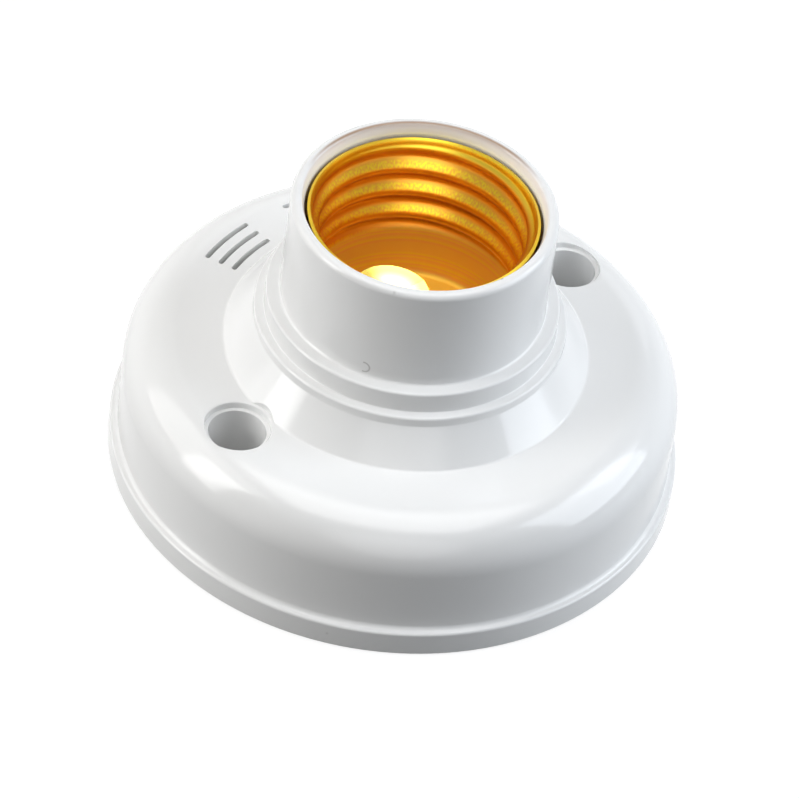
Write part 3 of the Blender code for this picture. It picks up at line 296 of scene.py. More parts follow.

# %% [markdown]
# ## White moulded plastic
# The housing is a glossy white thermoplastic. Its skin follows a polished mould, so it mirrors the lamps
# sharply but with a faint ripple. A few marks of handling show in the picture: a small hook-shaped scuff
# and a nick on the collar, and single dark specks. A thin tan line along the far half of the rim is a
# painted reflection of the gold shell in the rim's inner edge. Each is a mask that lays its colour over the
# white a little.

# %% White plastic
white_plastic, tree, shader, surface = finish(
    "white_moulded_plastic", (0.87, 0.87, 0.865), 0.12, tone=0.015, patch=40.0, grain=420.0, bump=0.05,
    depth=0.00004, gloss_change=0.05, IOR=1.5,
)
TO_RIGHT = (0.7071, -0.7071, 0.0)
TO_REAR = (0.31, 0.39, 0.867)
DARK = (0.22, 0.20, 0.19, 1.0)
# painted reflection of the gold shell, for the ring along the far half of the rim
GOLD_REFLECTION_TAN = (0.36, 0.22, 0.13, 1.0)
WHOLE_DOT = {"Radius": 0.0, "Keep Towards": TO_RIGHT, "Keep Beyond": -1.0, "Keep Fade": 0.0001}
marks = {
    "hook scuff": {"Place": (-0.01417, -0.00774, 0.02765), "Radius": 0.00070, "Width": 0.00018,
                   "Keep Beyond": -0.00475, "Strength": 0.50},
    "nick on the rim": {"Place": (-0.01268, -0.00959, 0.0403), "Width": 0.00035, "Strength": 0.25},
    "speck inside the rim": {"Place": (-0.00062, -0.01477, 0.0405), "Width": 0.00038, "Strength": 0.80},
    "speck on the dome": {"Place": (-0.00738, 0.02112, 0.0180), "Width": 0.00022, "Strength": 0.35},
    "line on the foot": {"Place": (-0.02773, -0.02143, 0.0018), "Width": 0.00030, "Strength": 0.20},
    # The ring below is a painted reflection of the gold shell in the rim's inner edge, kept to the far half.
    "rubbed line on the rim": {"Place": (0.0, 0.0, 0.0406), "Radius": 0.01495, "Width": 0.00040,
                               "Keep Towards": TO_REAR, "Keep Beyond": 0.0375, "Keep Fade": 0.0035,
                               "Strength": 0.95},
}
colour = surface.outputs["Colour"]
for label, values in marks.items():
    mark = use_group(tree, mark_group, {**WHOLE_DOT, **values})
    # The tan colour paints the reflection of the gold, and the dark one stains the real marks.
    stain_and_reflection = GOLD_REFLECTION_TAN if label.startswith("rubbed") else DARK
    colour = lay_over(tree, mark.outputs["Mask"], colour, stain_and_reflection)
tree.links.new(colour, shader.inputs["Base Color"])
print("marks", list(marks))

# %% [markdown]
# ## The thread's sizes
# The heights of the rim, the shell's lip and the thread's first turn are needed three times: for the
# pattern of the gold, for the housing's outline and for the shell itself. They are named once, here, in
# millimetres above the back. The two shares of a turn say where round the axis the thread starts and how
# far its flank lies from there.

# %% Thread sizes
RIM = 40.6
SHELL_TOP = RIM - 1.3
THREAD_TOP = SHELL_TOP - 0.9
PITCH = 3.629
THREAD_START = 0.56
FLANK = 0.20
print("thread top", round(THREAD_TOP, 2), "pitch", PITCH)

# %% [markdown]
# ## The gold's grain
# The shell is thin brass with a yellow, nearly gold plating. The rolls that form the thread leave short
# upright streaks on the upper flanks and fine level rings everywhere, so the gold gets both. The flanks are
# found from the height and the angle about the axis, in the same way as the thread itself is made.

# %% Gold grain
gold_plating, tree, shader, surface = finish(
    "gold_plated_brass", (0.88, 0.42, 0.055), 0.34, metallic=1.0, tone=0.10, patch=120.0, grain=900.0,
    bump=0.06, depth=0.00002, gloss_change=0.06,
)
UPRIGHT = (1.0, 1.0, 0.06)
STREAK_HEIGHT, RING_HEIGHT = 0.12, 1.10
place = add_node(tree, "ShaderNodeTexCoord").outputs["Object"]
parts = add_node(tree, "ShaderNodeSeparateXYZ", {0: place}).outputs
round_axis = work_out(tree, "ARCTAN2", parts["Y"], parts["X"])
first_turn = math.tau * (THREAD_START - FLANK) - math.tau * THREAD_TOP / PITCH
climb = work_out(tree, "MULTIPLY_ADD", parts["Z"], math.tau / (PITCH * MM), first_turn)
phase = work_out(tree, "SUBTRACT", climb, round_axis)
flank = fade(tree, work_out(tree, "COSINE", phase), start=-0.60, stop=-0.98)
streaks = noise(tree, multiply_vector(tree, place, UPRIGHT), scale=4200.0, detail=0.0)
level = add_node(tree, "ShaderNodeCombineXYZ", {"Z": parts["Z"]}).outputs[0]
rings = noise(tree, level, scale=2000.0, detail=0.0)
streaked = work_out(tree, "MULTIPLY", streaks, flank)
fine = work_out(tree, "MULTIPLY", streaked, STREAK_HEIGHT)
rolled = work_out(tree, "MULTIPLY_ADD", rings, RING_HEIGHT, fine)
add_relief(tree, shader, rolled, strength=0.5, depth=0.00003)
print("gold grain on", gold_plating.name)

# %% [markdown]
# ## The gold's colours
# Light bounces from wall to wall inside the shell, and each bounce takes out more blue and green, which is
# why its grooves look orange and brown. The upper flanks carry a painted highlight: a clear yellow laid along
# their rolled streaks, where the lamps above shine. The lip carries a painted band of lighter yellow, where
# less light has bounced. The skirt below the thread is only drawn, so it is less glossy, with faint level
# rings, and its orange is painted paler to lighten it deep in the shell. Masks made from the height and the
# streaks lay these colours over the plain gold, one after another.

# %% Gold colours
FLANK_HIGHLIGHT_YELLOW = (1.0, 0.72, 0.04, 1.0)
SKIRT_LIGHTENED_ORANGE = (1.0, 0.62, 0.17, 1.0)
RING_YELLOW = (1.0, 0.76, 0.12, 1.0)
LIP_HIGHLIGHT_YELLOW = (1.0, 0.82, 0.07, 1.0)
SKIRT_DULLNESS = 0.36
# Painted highlight: the streaks on the upper flanks, where the lamps above shine, are painted a clear yellow.
bright = fade(tree, streaks, start=0.30, stop=0.72, low=0.10, high=0.95, kind="LINEAR")
streak_highlight_mask = work_out(tree, "MULTIPLY", bright, flank)
rubbed = lay_over(tree, streak_highlight_mask, surface.outputs["Colour"], FLANK_HIGHLIGHT_YELLOW)
skirt = fade(tree, parts["Z"], start=0.0250, stop=0.0258, low=1.0, high=0.0)
gloss = work_out(tree, "MULTIPLY_ADD", skirt, SKIRT_DULLNESS, surface.outputs["Roughness"])
tree.links.new(gloss, shader.inputs["Roughness"])
# The skirt's orange is painted paler to lighten it deep in the shell, as a stand-in for light.
skirt_lightened = lay_over(tree, skirt, rubbed, SKIRT_LIGHTENED_ORANGE)
turned = fade(tree, rings, start=0.40, stop=0.62, low=0.0, high=0.75)
lines = work_out(tree, "MULTIPLY", turned, skirt)
ringed = lay_over(tree, lines, skirt_lightened, RING_YELLOW)
# Painted light: a lighter yellow band at the lip, where less light has bounced in the shell.
lip = fade(tree, parts["Z"], start=0.0376, stop=0.0382, low=0.0, high=0.65)
tree.links.new(lay_over(tree, lip, ringed, LIP_HIGHLIGHT_YELLOW), shader.inputs["Base Color"])
print("gold with", len(tree.nodes), "nodes")

# %% [markdown]
# ## The contact's brass
# The tip of the sprung contact is pressed into a shallow round dish, and its middle is painted nearly white
# as a highlight. The dish is far wider than it's deep, so a bump gives its shine: the height grows with the
# square of the distance from the middle, as in a sphere. The same distance mixes in the painted white
# highlight.

# %% Contact brass
DISH_REACH = 5.1 * MM
DISH_RADIUS = 13.0 * MM
FLAT = (1.0, 1.0, 0.0)
HIGHLIGHT_WHITE = (1.0, 0.97, 0.86, 1.0)
contact_brass, tree, shader, surface = finish(
    "bright_contact_brass", (1.0, 0.80, 0.16), 0.24, metallic=1.0, tone=0.06, patch=300.0, grain=3000.0,
    bump=0.12, depth=0.00001, stretch=(0.1, 1.0, 1.0), gloss_change=0.08,
)
leaf_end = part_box("centre_contact")[1][1]
tip = Vector((0.0, leaf_end - DISH_REACH, 0.0)) - nodes["centre_contact"].matrix_world.translation
place = add_node(tree, "ShaderNodeTexCoord").outputs["Object"]
from_tip = add_node(tree, "ShaderNodeVectorMath", {0: place, 1: tip}, operation="SUBTRACT").outputs["Vector"]
away = measure(tree, "LENGTH", multiply_vector(tree, from_tip, FLAT))
within = work_out(tree, "MINIMUM", away, DISH_REACH)
squared = work_out(tree, "POWER", within, 2.0)
dish = work_out(tree, "MULTIPLY", squared, 0.5 / DISH_RADIUS)
add_relief(tree, shader, dish, strength=1.0, depth=1.0)
# Painted highlight: the middle of the dish is painted nearly white.
painted_highlight_mask = fade(tree, away, start=1.4 * MM, stop=4.4 * MM, low=0.9, high=0.0)
tree.links.new(lay_over(tree, painted_highlight_mask, surface.outputs["Colour"], HIGHLIGHT_WHITE), shader.inputs["Base Color"])
print("contact tip at", [round(part / MM, 2) for part in tip], "from its origin")

# %% [markdown]
# ## Rivets, tags and screws
# Turned brass shows fine tool marks, and zinc-plated steel is greyer with an uneven gloss. Both are small
# in the picture, so the plain finish with a strong grain is enough for them.

# %% Other metals
rivet_brass = finish(
    "turned_brass", (0.86, 0.70, 0.36), 0.28, metallic=1.0, tone=0.08, patch=400.0, grain=3500.0, bump=0.2,
)[0]
plated_steel = finish(
    "zinc_plated_steel", (0.66, 0.66, 0.65), 0.30, metallic=1.0, tone=0.10, patch=500.0, grain=3000.0,
    bump=0.3, gloss_change=0.14,
)[0]
print("metals", gold_plating.name, contact_brass.name, rivet_brass.name, plated_steel.name)

# %% [markdown]
# ## Plastics and small components
# Each of these differs from the next only in colour, gloss and grain: a matt cover, a brown moulded block,
# resin and lacquer on the small components, and the red insulation of a lead. So a table of numbers makes
# them all.

# %% Plastic and component finishes
recipes = {
    "off_white_plastic": dict(colour=(0.78, 0.78, 0.76), gloss=0.42, tone=0.03, grain=900.0, bump=0.35),
    "brown_thermoset": dict(colour=(0.20, 0.13, 0.09), gloss=0.45, tone=0.25, patch=300.0, grain=1800.0,
                            bump=0.4),
    "green_nylon": dict(colour=(0.05, 0.22, 0.09), gloss=0.42, tone=0.08, patch=150.0, grain=1200.0,
                        bump=0.3),
    "red_brown_resin": dict(colour=(0.42, 0.09, 0.05), gloss=0.28, tone=0.12, patch=220.0, grain=700.0,
                            bump=0.5),
    "dark_shrink_sleeve": dict(colour=(0.03, 0.04, 0.07), gloss=0.30, tone=0.15, patch=200.0, grain=800.0,
                               bump=0.3),
    "blue_lacquer": dict(colour=(0.06, 0.15, 0.36), gloss=0.30, tone=0.15, patch=250.0, grain=900.0,
                         bump=0.6),
    "grey_green_lacquer": dict(colour=(0.33, 0.42, 0.37), gloss=0.45, tone=0.12, patch=300.0, grain=900.0,
                               bump=0.5),
    "black_moulded_epoxy": dict(colour=(0.025, 0.025, 0.026), gloss=0.42, tone=0.2, patch=400.0, grain=2500.0,
                                bump=0.5),
    "pale_clear_epoxy": dict(colour=(0.68, 0.71, 0.68), gloss=0.14, tone=0.05, patch=300.0, grain=900.0,
                             bump=0.1, Transmission_Weight=0.5),
    "red_insulation": dict(colour=(0.55, 0.04, 0.03), gloss=0.42, tone=0.1, patch=300.0, grain=900.0,
                           bump=0.3),
}
plastics = {name: finish(name, **recipe)[0] for name, recipe in recipes.items()}
print("plastics", list(plastics))

# %% [markdown]
# ## Board lacquer
# A circuit board shows its copper tracks as slightly lighter and raised lines under the green lacquer. A
# brick pattern with thin joints gives such a net of straight lines, and it drives both the colour and the
# bump.


# %% Board finish
def board_finish(name, dark, light, turn=(0.0, 0.0, 0.0)):
    """Green lacquer over a net of copper tracks."""
    material, tree, shader = new_material(name, 0.35)
    place = add_node(tree, "ShaderNodeTexCoord").outputs["Object"]
    turned = add_node(tree, "ShaderNodeMapping", {"Vector": place, "Rotation": turn})
    tracks = add_node(
        tree,
        "ShaderNodeTexBrick",
        {
            "Vector": turned.outputs[0],
            "Color1": (*dark, 1.0),
            "Color2": (*[0.85 * part for part in dark], 1.0),
            "Mortar": (*light, 1.0),
            "Scale": 260.0,
            "Mortar Size": 0.045,
            "Brick Width": 0.9,
            "Row Height": 0.42,
        },
    )
    surface = use_group(
        tree,
        surface_group,
        {"Colour": tracks.outputs["Color"], "Tone Change": 0.2, "Patch Size": 200.0, "Grain Size": 2200.0,
         "Gloss": 0.33, "Gloss Change": 0.1},
    )
    height = tracks.outputs["Fac"]
    relief = add_node(tree, "ShaderNodeBump", {"Strength": 0.5, "Distance": 0.00004, "Height": height})
    tree.links.new(surface.outputs["Colour"], shader.inputs["Base Color"])
    tree.links.new(surface.outputs["Roughness"], shader.inputs["Roughness"])
    tree.links.new(relief.outputs["Normal"], shader.inputs["Normal"])
    return material


board_green = board_finish("green_board_lacquer", (0.03, 0.17, 0.08), (0.07, 0.30, 0.14))
radar_green = board_finish("blue_green_board_lacquer", (0.02, 0.12, 0.14), (0.30, 0.24, 0.10),
                           turn=(0.0, math.radians(90.0), 0.0))
print("boards", board_green.name, radar_green.name)

# %% [markdown]
# ## Outlines that are spun
# The round parts start as the outline of half a section: a chain of points, with its corners rounded by a
# bevel, spun about an axis. That gives clean rings of faces, and a change of one size is a change of one
# point.

# %% Outline helpers
SAME_PLACE = 1e-7  # points closer than this, in metres, become one


def outline_mesh(points, rounds):
    """A closed chain of (radius, height) points in mm, rounded at its numbered corners by (reach, steps)."""
    bm = bmesh.new()
    verts = [bm.verts.new((radius * MM, 0.0, height * MM)) for radius, height in points]
    for i in range(len(verts)):
        bm.edges.new((verts[i], verts[i - 1]))
    for corner, (reach, steps) in rounds.items():
        bmesh.ops.bevel(bm, geom=[verts[corner]], offset=reach * MM, offset_type="OFFSET", segments=steps,
                        profile=0.5, affect="VERTICES", material=-1)
    return bm


def spin_full(bm, steps, centre=(0.0, 0.0)):
    """Spins everything in the mesh once round an upright axis, and points the faces outwards."""
    geometry = bm.verts[:] + bm.edges[:]
    bmesh.ops.spin(bm, geom=geometry, cent=(0.0, 0.0, 0.0), axis=(0.0, 0.0, 1.0), angle=math.tau, steps=steps,
                   use_merge=True)
    bmesh.ops.remove_doubles(bm, verts=bm.verts[:], dist=SAME_PLACE)
    bmesh.ops.recalc_face_normals(bm, faces=bm.faces[:])
    bmesh.ops.translate(bm, vec=(*centre, 0.0), verts=bm.verts[:])
    return bm


print("outline helpers ready")

# %% [markdown]
# ## From a mesh to a piece
# A finished bmesh becomes an object. Openings are carved by Booleans, whose result is baked into the mesh,
# so that no cutter is left in the scene. The smooth shading keeps the real edges crisp, and weighted
# normals keep the flats flat right up to a rounded edge.


# %% Piece helpers
def to_object(name, bm, material=None):
    """Makes an object from a bmesh."""
    mesh = bpy.data.meshes.new(name)
    bm.to_mesh(mesh)
    bm.free()
    obj = bpy.data.objects.new(name, mesh)
    bpy.context.scene.collection.objects.link(obj)
    if material:
        mesh.materials.append(material)
    return obj


def bake_modifiers(obj):
    """Replaces an object's mesh by what its modifiers make of it."""
    graph = bpy.context.evaluated_depsgraph_get()
    obj.data = bpy.data.meshes.new_from_object(obj.evaluated_get(graph))
    obj.modifiers.clear()


def carve(target, tool_mesh, operation="DIFFERENCE"):
    """Cuts a bmesh from the target, or joins it, and keeps only the result."""
    tool = to_object("tool", tool_mesh)
    modifier = target.modifiers.new("carve", "BOOLEAN")
    modifier.operation = operation
    modifier.solver = "EXACT"
    modifier.object = tool
    bake_modifiers(target)
    bpy.data.objects.remove(tool, do_unlink=True)


def smooth(obj, degrees=32.0):
    """Smooth shading that keeps the real edges crisp and the flats flat."""
    obj.data.shade_smooth()
    obj.data.set_sharp_from_angle(angle=math.radians(degrees))
    weighted = obj.modifiers.new("flats", "WEIGHTED_NORMAL")
    weighted.keep_sharp = True
    weighted.weight = 80


print("piece helpers ready")

# %% [markdown]
# ## The housing
# On the real object this is one moulding: the collar, two step rings, a cone, the dome with its broad
# shoulder and a foot. A single outline holds them all, from the rim down the outside and back up the
# inside. Its corners are rounded one by one, since a moulded edge has a radius that depends on where the
# mould parts.

# %% Housing outline
COLLAR, UPPER_RING, LOWER_RING, DOME, FOOT = 16.1, 17.85, 19.05, 34.1, 35.05
DOME_TOP, FOOT_TOP = 18.0, 3.4
SOCKET_FLOOR = 16.2
outside = [
    (14.78, RIM), (COLLAR, RIM), (16.15, 26.4), (UPPER_RING, 26.4), (UPPER_RING, 23.6), (LOWER_RING, 23.6),
    (LOWER_RING, 22.4), (22.3, DOME_TOP), (DOME, DOME_TOP), (DOME, FOOT_TOP), (FOOT, FOOT_TOP), (FOOT, 0.0),
]
inside = [
    (33.2, 0.0), (33.2, 2.5), (32.1, 2.5), (32.1, 16.0), (20.9, 16.0), (17.55, 20.4), (16.1, 20.1),
    (16.1, 14.6), (7.9, 14.6), (7.9, SOCKET_FLOOR), (14.35, SOCKET_FLOOR), (14.35, SHELL_TOP),
]
rounds = {
    0: (0.25, 4), 1: (0.8, 7), 2: (0.3, 4), 3: (0.32, 5), 4: (0.14, 3), 5: (0.32, 5), 6: (0.12, 3),
    7: (0.25, 4), 8: (6.2, 24), 9: (0.6, 6), 10: (0.35, 5), 11: (0.3, 4), 15: (4.2, 8), 23: (0.3, 3),
}
housing_mesh = spin_full(outline_mesh(outside + inside, rounds), steps=192)
housing = to_object("housing_moulding", housing_mesh, white_plastic)
print("housing faces", len(housing.data.polygons))

# %% [markdown]
# ## Wells and posts
# Two deep wells take the fixing screws, and each is a tube that runs from the dome down to the back. Short
# posts inside carry the board and the back cover. The tubes and posts are joined on first, and all the
# holes are cut afterwards, because a hole cut too early would be filled again by the post around it.


# %% Posts and wells
def rod(bm, radius, low, high, place, steps=48):
    """Adds an upright rod in mm."""
    bmesh.ops.create_cone(
        bm, cap_ends=True, segments=steps, radius1=radius * MM, radius2=radius * MM, depth=(high - low) * MM,
        matrix=Matrix.Translation((place[0] * MM, place[1] * MM, (low + high) / 2 * MM)),
    )


def around(radius, degrees):
    """A point on a circle in mm."""
    return radius * math.cos(math.radians(degrees)), radius * math.sin(math.radians(degrees))


WELL_OUT = 26.1
wells = ((WELL_OUT, 0.0), (-WELL_OUT, 0.0))
cover_posts = [around(28.45, degrees) for degrees in (32.0, 148.0, 270.0)]
board_posts = ((16.5, 16.5), (-16.5, -16.5))
posts = bmesh.new()
for place in wells:
    rod(posts, radius=4.9, low=0.45, high=16.67, place=place)
for place in cover_posts:
    rod(posts, radius=2.9, low=2.5, high=16.5, place=place, steps=32)
for place in board_posts:
    rod(posts, radius=2.6, low=13.7, high=17.0, place=place, steps=32)
carve(housing, posts, "UNION")
print("with posts", len(housing.data.polygons))

# %% [markdown]
# ## Holes
# Each well has a through hole for its screw, a seat near the lower end, a shallow step under the mouth and
# a mouth that flares a little. One spun outline cuts all of that. The posts get pilot holes for their
# screws, and the socket's floor gets two holes for the rivets.

# %% Holes
RIVET_OUT, RIVET_HOLE = 10.0, 1.3
SCREW_SEAT = 3.0
well_outline = [
    (0.0, -2.0), (2.2, -2.0), (2.2, SCREW_SEAT), (3.5, SCREW_SEAT), (3.5, 17.15), (4.0, 17.15), (4.0, 17.72),
    (4.12, 17.92), (4.42, DOME_TOP), (4.42, 20.0), (0.0, 20.0),
]
for place in wells:
    centre = (place[0] * MM, place[1] * MM)
    hole = spin_full(outline_mesh(well_outline, {4: (0.12, 3)}), steps=64, centre=centre)
    carve(housing, hole)
small_holes = bmesh.new()
for place in cover_posts:
    rod(small_holes, radius=1.6, low=-1.0, high=10.0, place=place, steps=24)
for place in board_posts:
    rod(small_holes, radius=1.3, low=11.8, high=16.4, place=place, steps=24)
for side in (-1, 1):
    rod(small_holes, RIVET_HOLE, low=12.6, high=16.5, place=(side * RIVET_OUT, 0.0), steps=24)
carve(housing, small_holes)
print("with wells", len(housing.data.polygons))

# %% [markdown]
# ## Vents
# Six curved slots let light reach the sensor behind them. Each cutter is a thin upright rectangle spun
# through a short angle, and the bevel of its four upright edges gives the slot its round ends. A cutter is
# taller than the dome is thick, so it goes right through.

# %% Vent cutter
SLOT_LOW, SLOT_HIGH = 15.0, 19.0
UPRIGHT_EDGE = 3 * MM
ROUND_SHARE = 0.49  # nearly half the width, so that the ends are round


def vent_cutter(radius, middle, half_angle, width):
    """One curved slot with round ends, as a bmesh."""
    bm = bmesh.new()
    corners = [bm.verts.new(((radius + dx * width / 2) * MM, 0.0, z * MM)) for dx, z in
               ((-1, SLOT_LOW), (1, SLOT_LOW), (1, SLOT_HIGH), (-1, SLOT_HIGH))]
    bm.faces.new(corners)
    bmesh.ops.rotate(bm, verts=bm.verts[:], cent=(0, 0, 0),
                     matrix=Matrix.Rotation(math.radians(middle - half_angle), 3, "Z"))
    bmesh.ops.spin(bm, geom=bm.verts[:] + bm.edges[:] + bm.faces[:], cent=(0, 0, 0), axis=(0, 0, 1),
                   angle=math.radians(2 * half_angle), steps=12)
    bmesh.ops.remove_doubles(bm, verts=bm.verts[:], dist=SAME_PLACE)
    bmesh.ops.recalc_face_normals(bm, faces=bm.faces[:])
    upright = [edge for edge in bm.edges if abs(edge.verts[0].co.z - edge.verts[1].co.z) > UPRIGHT_EDGE]
    ends = sorted(upright, key=lambda edge: math.atan2(edge.verts[0].co.y, edge.verts[0].co.x))
    bmesh.ops.bevel(bm, geom=[*ends[:2], *ends[-2:]], offset=width * ROUND_SHARE * MM, offset_type="OFFSET",
                    segments=6, profile=0.5, affect="EDGES", material=-1)
    return bm


print("vent cutter ready")

# %% [markdown]
# ## Two groups of vents
# The slots lie in two groups of three, one on each side of the rear, and each group's slots share their
# middle line. The housing is finished once they are cut: it gets its shading, rides on the holder and
# stands for the model's own housing, which stays hidden below it.

# %% Vents
SLOT_WIDTH, FIRST_SLOT, SLOT_STEP = 0.66, 23.95, 1.87
GROUP_TURN, SLOT_HALF, END_REACH = 14.5, 7.9, 0.39
for side in (-1, 1):
    for row in range(3):
        slot_radius = FIRST_SLOT + SLOT_STEP * row
        half = SLOT_HALF + math.degrees(END_REACH / slot_radius)
        carve(housing, vent_cutter(slot_radius, 90 + side * GROUP_TURN, half, SLOT_WIDTH))
smooth(housing)
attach(housing, "holder")
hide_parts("housing")
print("housing finished", len(housing.data.polygons))

# %% [markdown]
# ## The screw shell
# The shell starts as a drawn tube with a lip that opens a little, a narrower skirt and a floor with a hole
# for the contact. Here a finely divided upright line is spun into that tube. It needs many short steps
# where the thread will be, because the thread is made by moving its points.

# %% Shell tube
THREAD_BOTTOM = THREAD_TOP - 13.5
SHELL_FLOOR = 18.1
SKIRT = 12.85
WAVE = 0.5
CREST = SKIRT + WAVE
THREAD_STEP, SKIRT_STEP = 0.125, 0.5
line = [(13.65, SHELL_TOP), (13.52, SHELL_TOP - 0.2), (13.43, SHELL_TOP - 0.42), (13.38, SHELL_TOP - 0.65)]
line += [(CREST, THREAD_TOP - THREAD_STEP * i) for i in range(0, 109)]
line += [(SKIRT, THREAD_BOTTOM - SKIRT_STEP - SKIRT_STEP * i) for i in range(0, 11)]
line += [(SKIRT, SHELL_FLOOR + 0.8), (12.78, SHELL_FLOOR + 0.5), (12.62, SHELL_FLOOR + 0.23),
         (12.35, SHELL_FLOOR + 0.06), (12.05, SHELL_FLOOR), (7.6, SHELL_FLOOR)]
bm = bmesh.new()
chain = [bm.verts.new((radius * MM, 0.0, height * MM)) for radius, height in line]
for upper, lower in zip(chain, chain[1:]):
    bm.edges.new((upper, lower))
bmesh.ops.spin(bm, geom=bm.verts[:] + bm.edges[:], cent=(0, 0, 0), axis=(0, 0, 1), angle=math.tau, steps=160,
               use_merge=True)
bmesh.ops.remove_doubles(bm, verts=bm.verts[:], dist=SAME_PLACE)
print("tube points", len(bm.verts))

# %% [markdown]
# ## The rolled thread
# The thread is rolled into the tube, so it's the same smooth wave inside and out. Every point of the tube
# is moved in or out by a wave that climbs one pitch for each turn, and the wave fades out near both ends.
# This keeps the even faces of the tube, where a spiral that is swept along a path would need its ends
# closed by hand.

# %% Screw shell
FADE = 1.2
for vert in bm.verts:
    height = vert.co.z / MM
    if not THREAD_BOTTOM - 0.1 < height < THREAD_TOP + 0.01:
        continue
    turn = math.atan2(vert.co.y, vert.co.x) / math.tau
    wave = math.cos(math.tau * ((height - THREAD_TOP) / PITCH - turn + THREAD_START))
    share = min(1.0, max(0.0, (THREAD_TOP - height) / FADE), max(0.0, (height - THREAD_BOTTOM) / FADE))
    plain = CREST if height > (THREAD_TOP + THREAD_BOTTOM) / 2 else SKIRT
    radius = (SKIRT + WAVE * wave) * share + plain * (1 - share)
    vert.co.xy = Vector(vert.co.xy).normalized() * radius * MM
shell = to_object("screw_shell", bm, gold_plating)
print("shell faces", len(shell.data.polygons))

# %% [markdown]
# ## The shell's sheet
# The tube is only a surface so far. A Solidify modifier gives it the thickness of the sheet, inwards from a
# surface whose faces point outwards, so these are turned first if they don't. Then the rivets' holes are
# cut.

# %% Shell thickness
facing = sum(face.area * face.normal.dot(Vector((*face.center.xy, 0.0))) for face in shell.data.polygons)
if facing > 0:
    shell.data.flip_normals()
sheet = shell.modifiers.new("sheet", "SOLIDIFY")
sheet.thickness = 0.4 * MM
sheet.offset = -1.0
bake_modifiers(shell)
holes = bmesh.new()
for side in (-1, 1):
    rod(holes, RIVET_HOLE, low=17.0, high=18.6, place=(side * RIVET_OUT, 0.0), steps=24)
carve(shell, holes)
smooth(shell, degrees=40.0)
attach(shell, "holder")
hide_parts("thread_shell")
reach = max(math.hypot(vert.co.x, vert.co.y) for vert in shell.data.vertices)
print("shell radius", round(reach / MM, 2), "faces", len(shell.data.polygons))

# %% [markdown]
# ## Screws with a driver's recess
# The model's screws have plain heads. On real ones a press sinks a cross or a slot into each head, so every
# screw is turned again here from its own outline, in the same place and size. The bars of the recess are
# then cut into it, as real geometry, since a bump wouldn't show in the exported mesh.


# %% Screw function
def recessed_screw(node, head_line, tail_line, bars, deep):
    """A screw with its head down, from (radius, height) points up from its face and down from its tip."""
    low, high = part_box(node)
    middle = [(low[i] + high[i]) / 2 for i in (0, 1)]
    line = [(radius, low[2] / MM + height) for radius, height in head_line]
    line += [(radius, high[2] / MM - height) for radius, height in tail_line]
    turned = spin_full(outline_mesh(line, {1: (0.1, 2)}), steps=48, centre=middle)
    screw = to_object("turned_" + node, turned, plated_steel)
    for long, wide in bars:
        cutter = bmesh.new()
        bmesh.ops.create_cube(cutter, size=2.0)
        bmesh.ops.scale(cutter, vec=(long * MM, wide * MM, deep * MM), verts=cutter.verts[:])
        bmesh.ops.translate(cutter, vec=(*middle, low[2]), verts=cutter.verts[:])
        carve(screw, cutter)
    smooth(screw)
    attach(screw, "holder")
    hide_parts(node)
    return screw


print("screw function ready")

# %% [markdown]
# ## Seven screws
# The cover's screws are countersunk, the board's have a pan head, and those of the terminals have a flat
# head with one slot. Points on the axis close an outline at both ends.

# %% Screws
screws = []
for number in (1, 2, 3):
    screws.append(recessed_screw(
        f"cover_screw_{number}", [(0.0, 0.0), (2.7, 0.0), (1.3, 1.4)], [(1.3, 1.3), (0.52, 0.0), (0.0, 0.0)],
        bars=((1.6, 0.42), (0.42, 1.6)), deep=0.9,
    ))
for number in (1, 2):
    screws.append(recessed_screw(
        f"board_screw_{number}", [(0.0, 0.0), (1.72, 0.0), (2.1, 0.38), (2.1, 1.1), (1.0, 1.1)],
        [(1.0, 0.38), (0.62, 0.0), (0.0, 0.0)], bars=((1.3, 0.32), (0.32, 1.3)), deep=0.7,
    ))
for pole in ("live", "neutral"):
    screws.append(recessed_screw(
        f"terminal_screw_{pole}", [(0.0, 0.0), (1.9, 0.0), (1.9, 1.1), (1.2, 1.1)], [(1.2, 0.0), (0.0, 0.0)],
        bars=((2.4, 0.32),), deep=0.6,
    ))
print("screws", {screw.name: len(screw.data.polygons) for screw in screws})

# %% [markdown]
# ## Which part gets which finish
# A table says it for each part of the model, by its name. The parts that have been made anew are in it too,
# so that nothing is left with a bare default if one of them is ever shown again.

# %% Finish table
finishes = {
    "housing": white_plastic,
    "thread_shell": gold_plating,
    "centre_contact": contact_brass,
    "contact_block": plastics["brown_thermoset"],
    "shell_rivet_right": rivet_brass,
    "shell_rivet_left": rivet_brass,
    "shell_tag": rivet_brass,
    "rivet_washer": plated_steel,
    "sensor_board": board_green,
    "back_cover": plastics["off_white_plastic"],
    "terminal_block": plastics["green_nylon"],
    "terminal_clamp_live": rivet_brass,
    "terminal_clamp_neutral": rivet_brass,
    "film_capacitor": plastics["red_brown_resin"],
    "smoothing_capacitor": plastics["dark_shrink_sleeve"],
    "fuse_resistor": plastics["grey_green_lacquer"],
    "surge_absorber": plastics["blue_lacquer"],
    "triac": plastics["black_moulded_epoxy"],
    "sensor_chip": plastics["black_moulded_epoxy"],
    "light_sensor": plastics["pale_clear_epoxy"],
    "radar_board": radar_green,
    "radar_shield": plated_steel,
    "centre_lead": plastics["red_insulation"],
}
families = {"_screw_": plated_steel, "rectifier_diode_": plastics["black_moulded_epoxy"]}
for name in nodes:
    for words, material in families.items():
        if words in name:
            finishes[name] = material
print("finishes for", len(finishes), "parts")

# %% [markdown]
# ## Finishes for the other parts
# The parts below keep their own meshes and only get a finish. Those meshes are loose triangles, so a Weld
# joins their corners and an Edge Split keeps their real edges crisp under smooth shading.

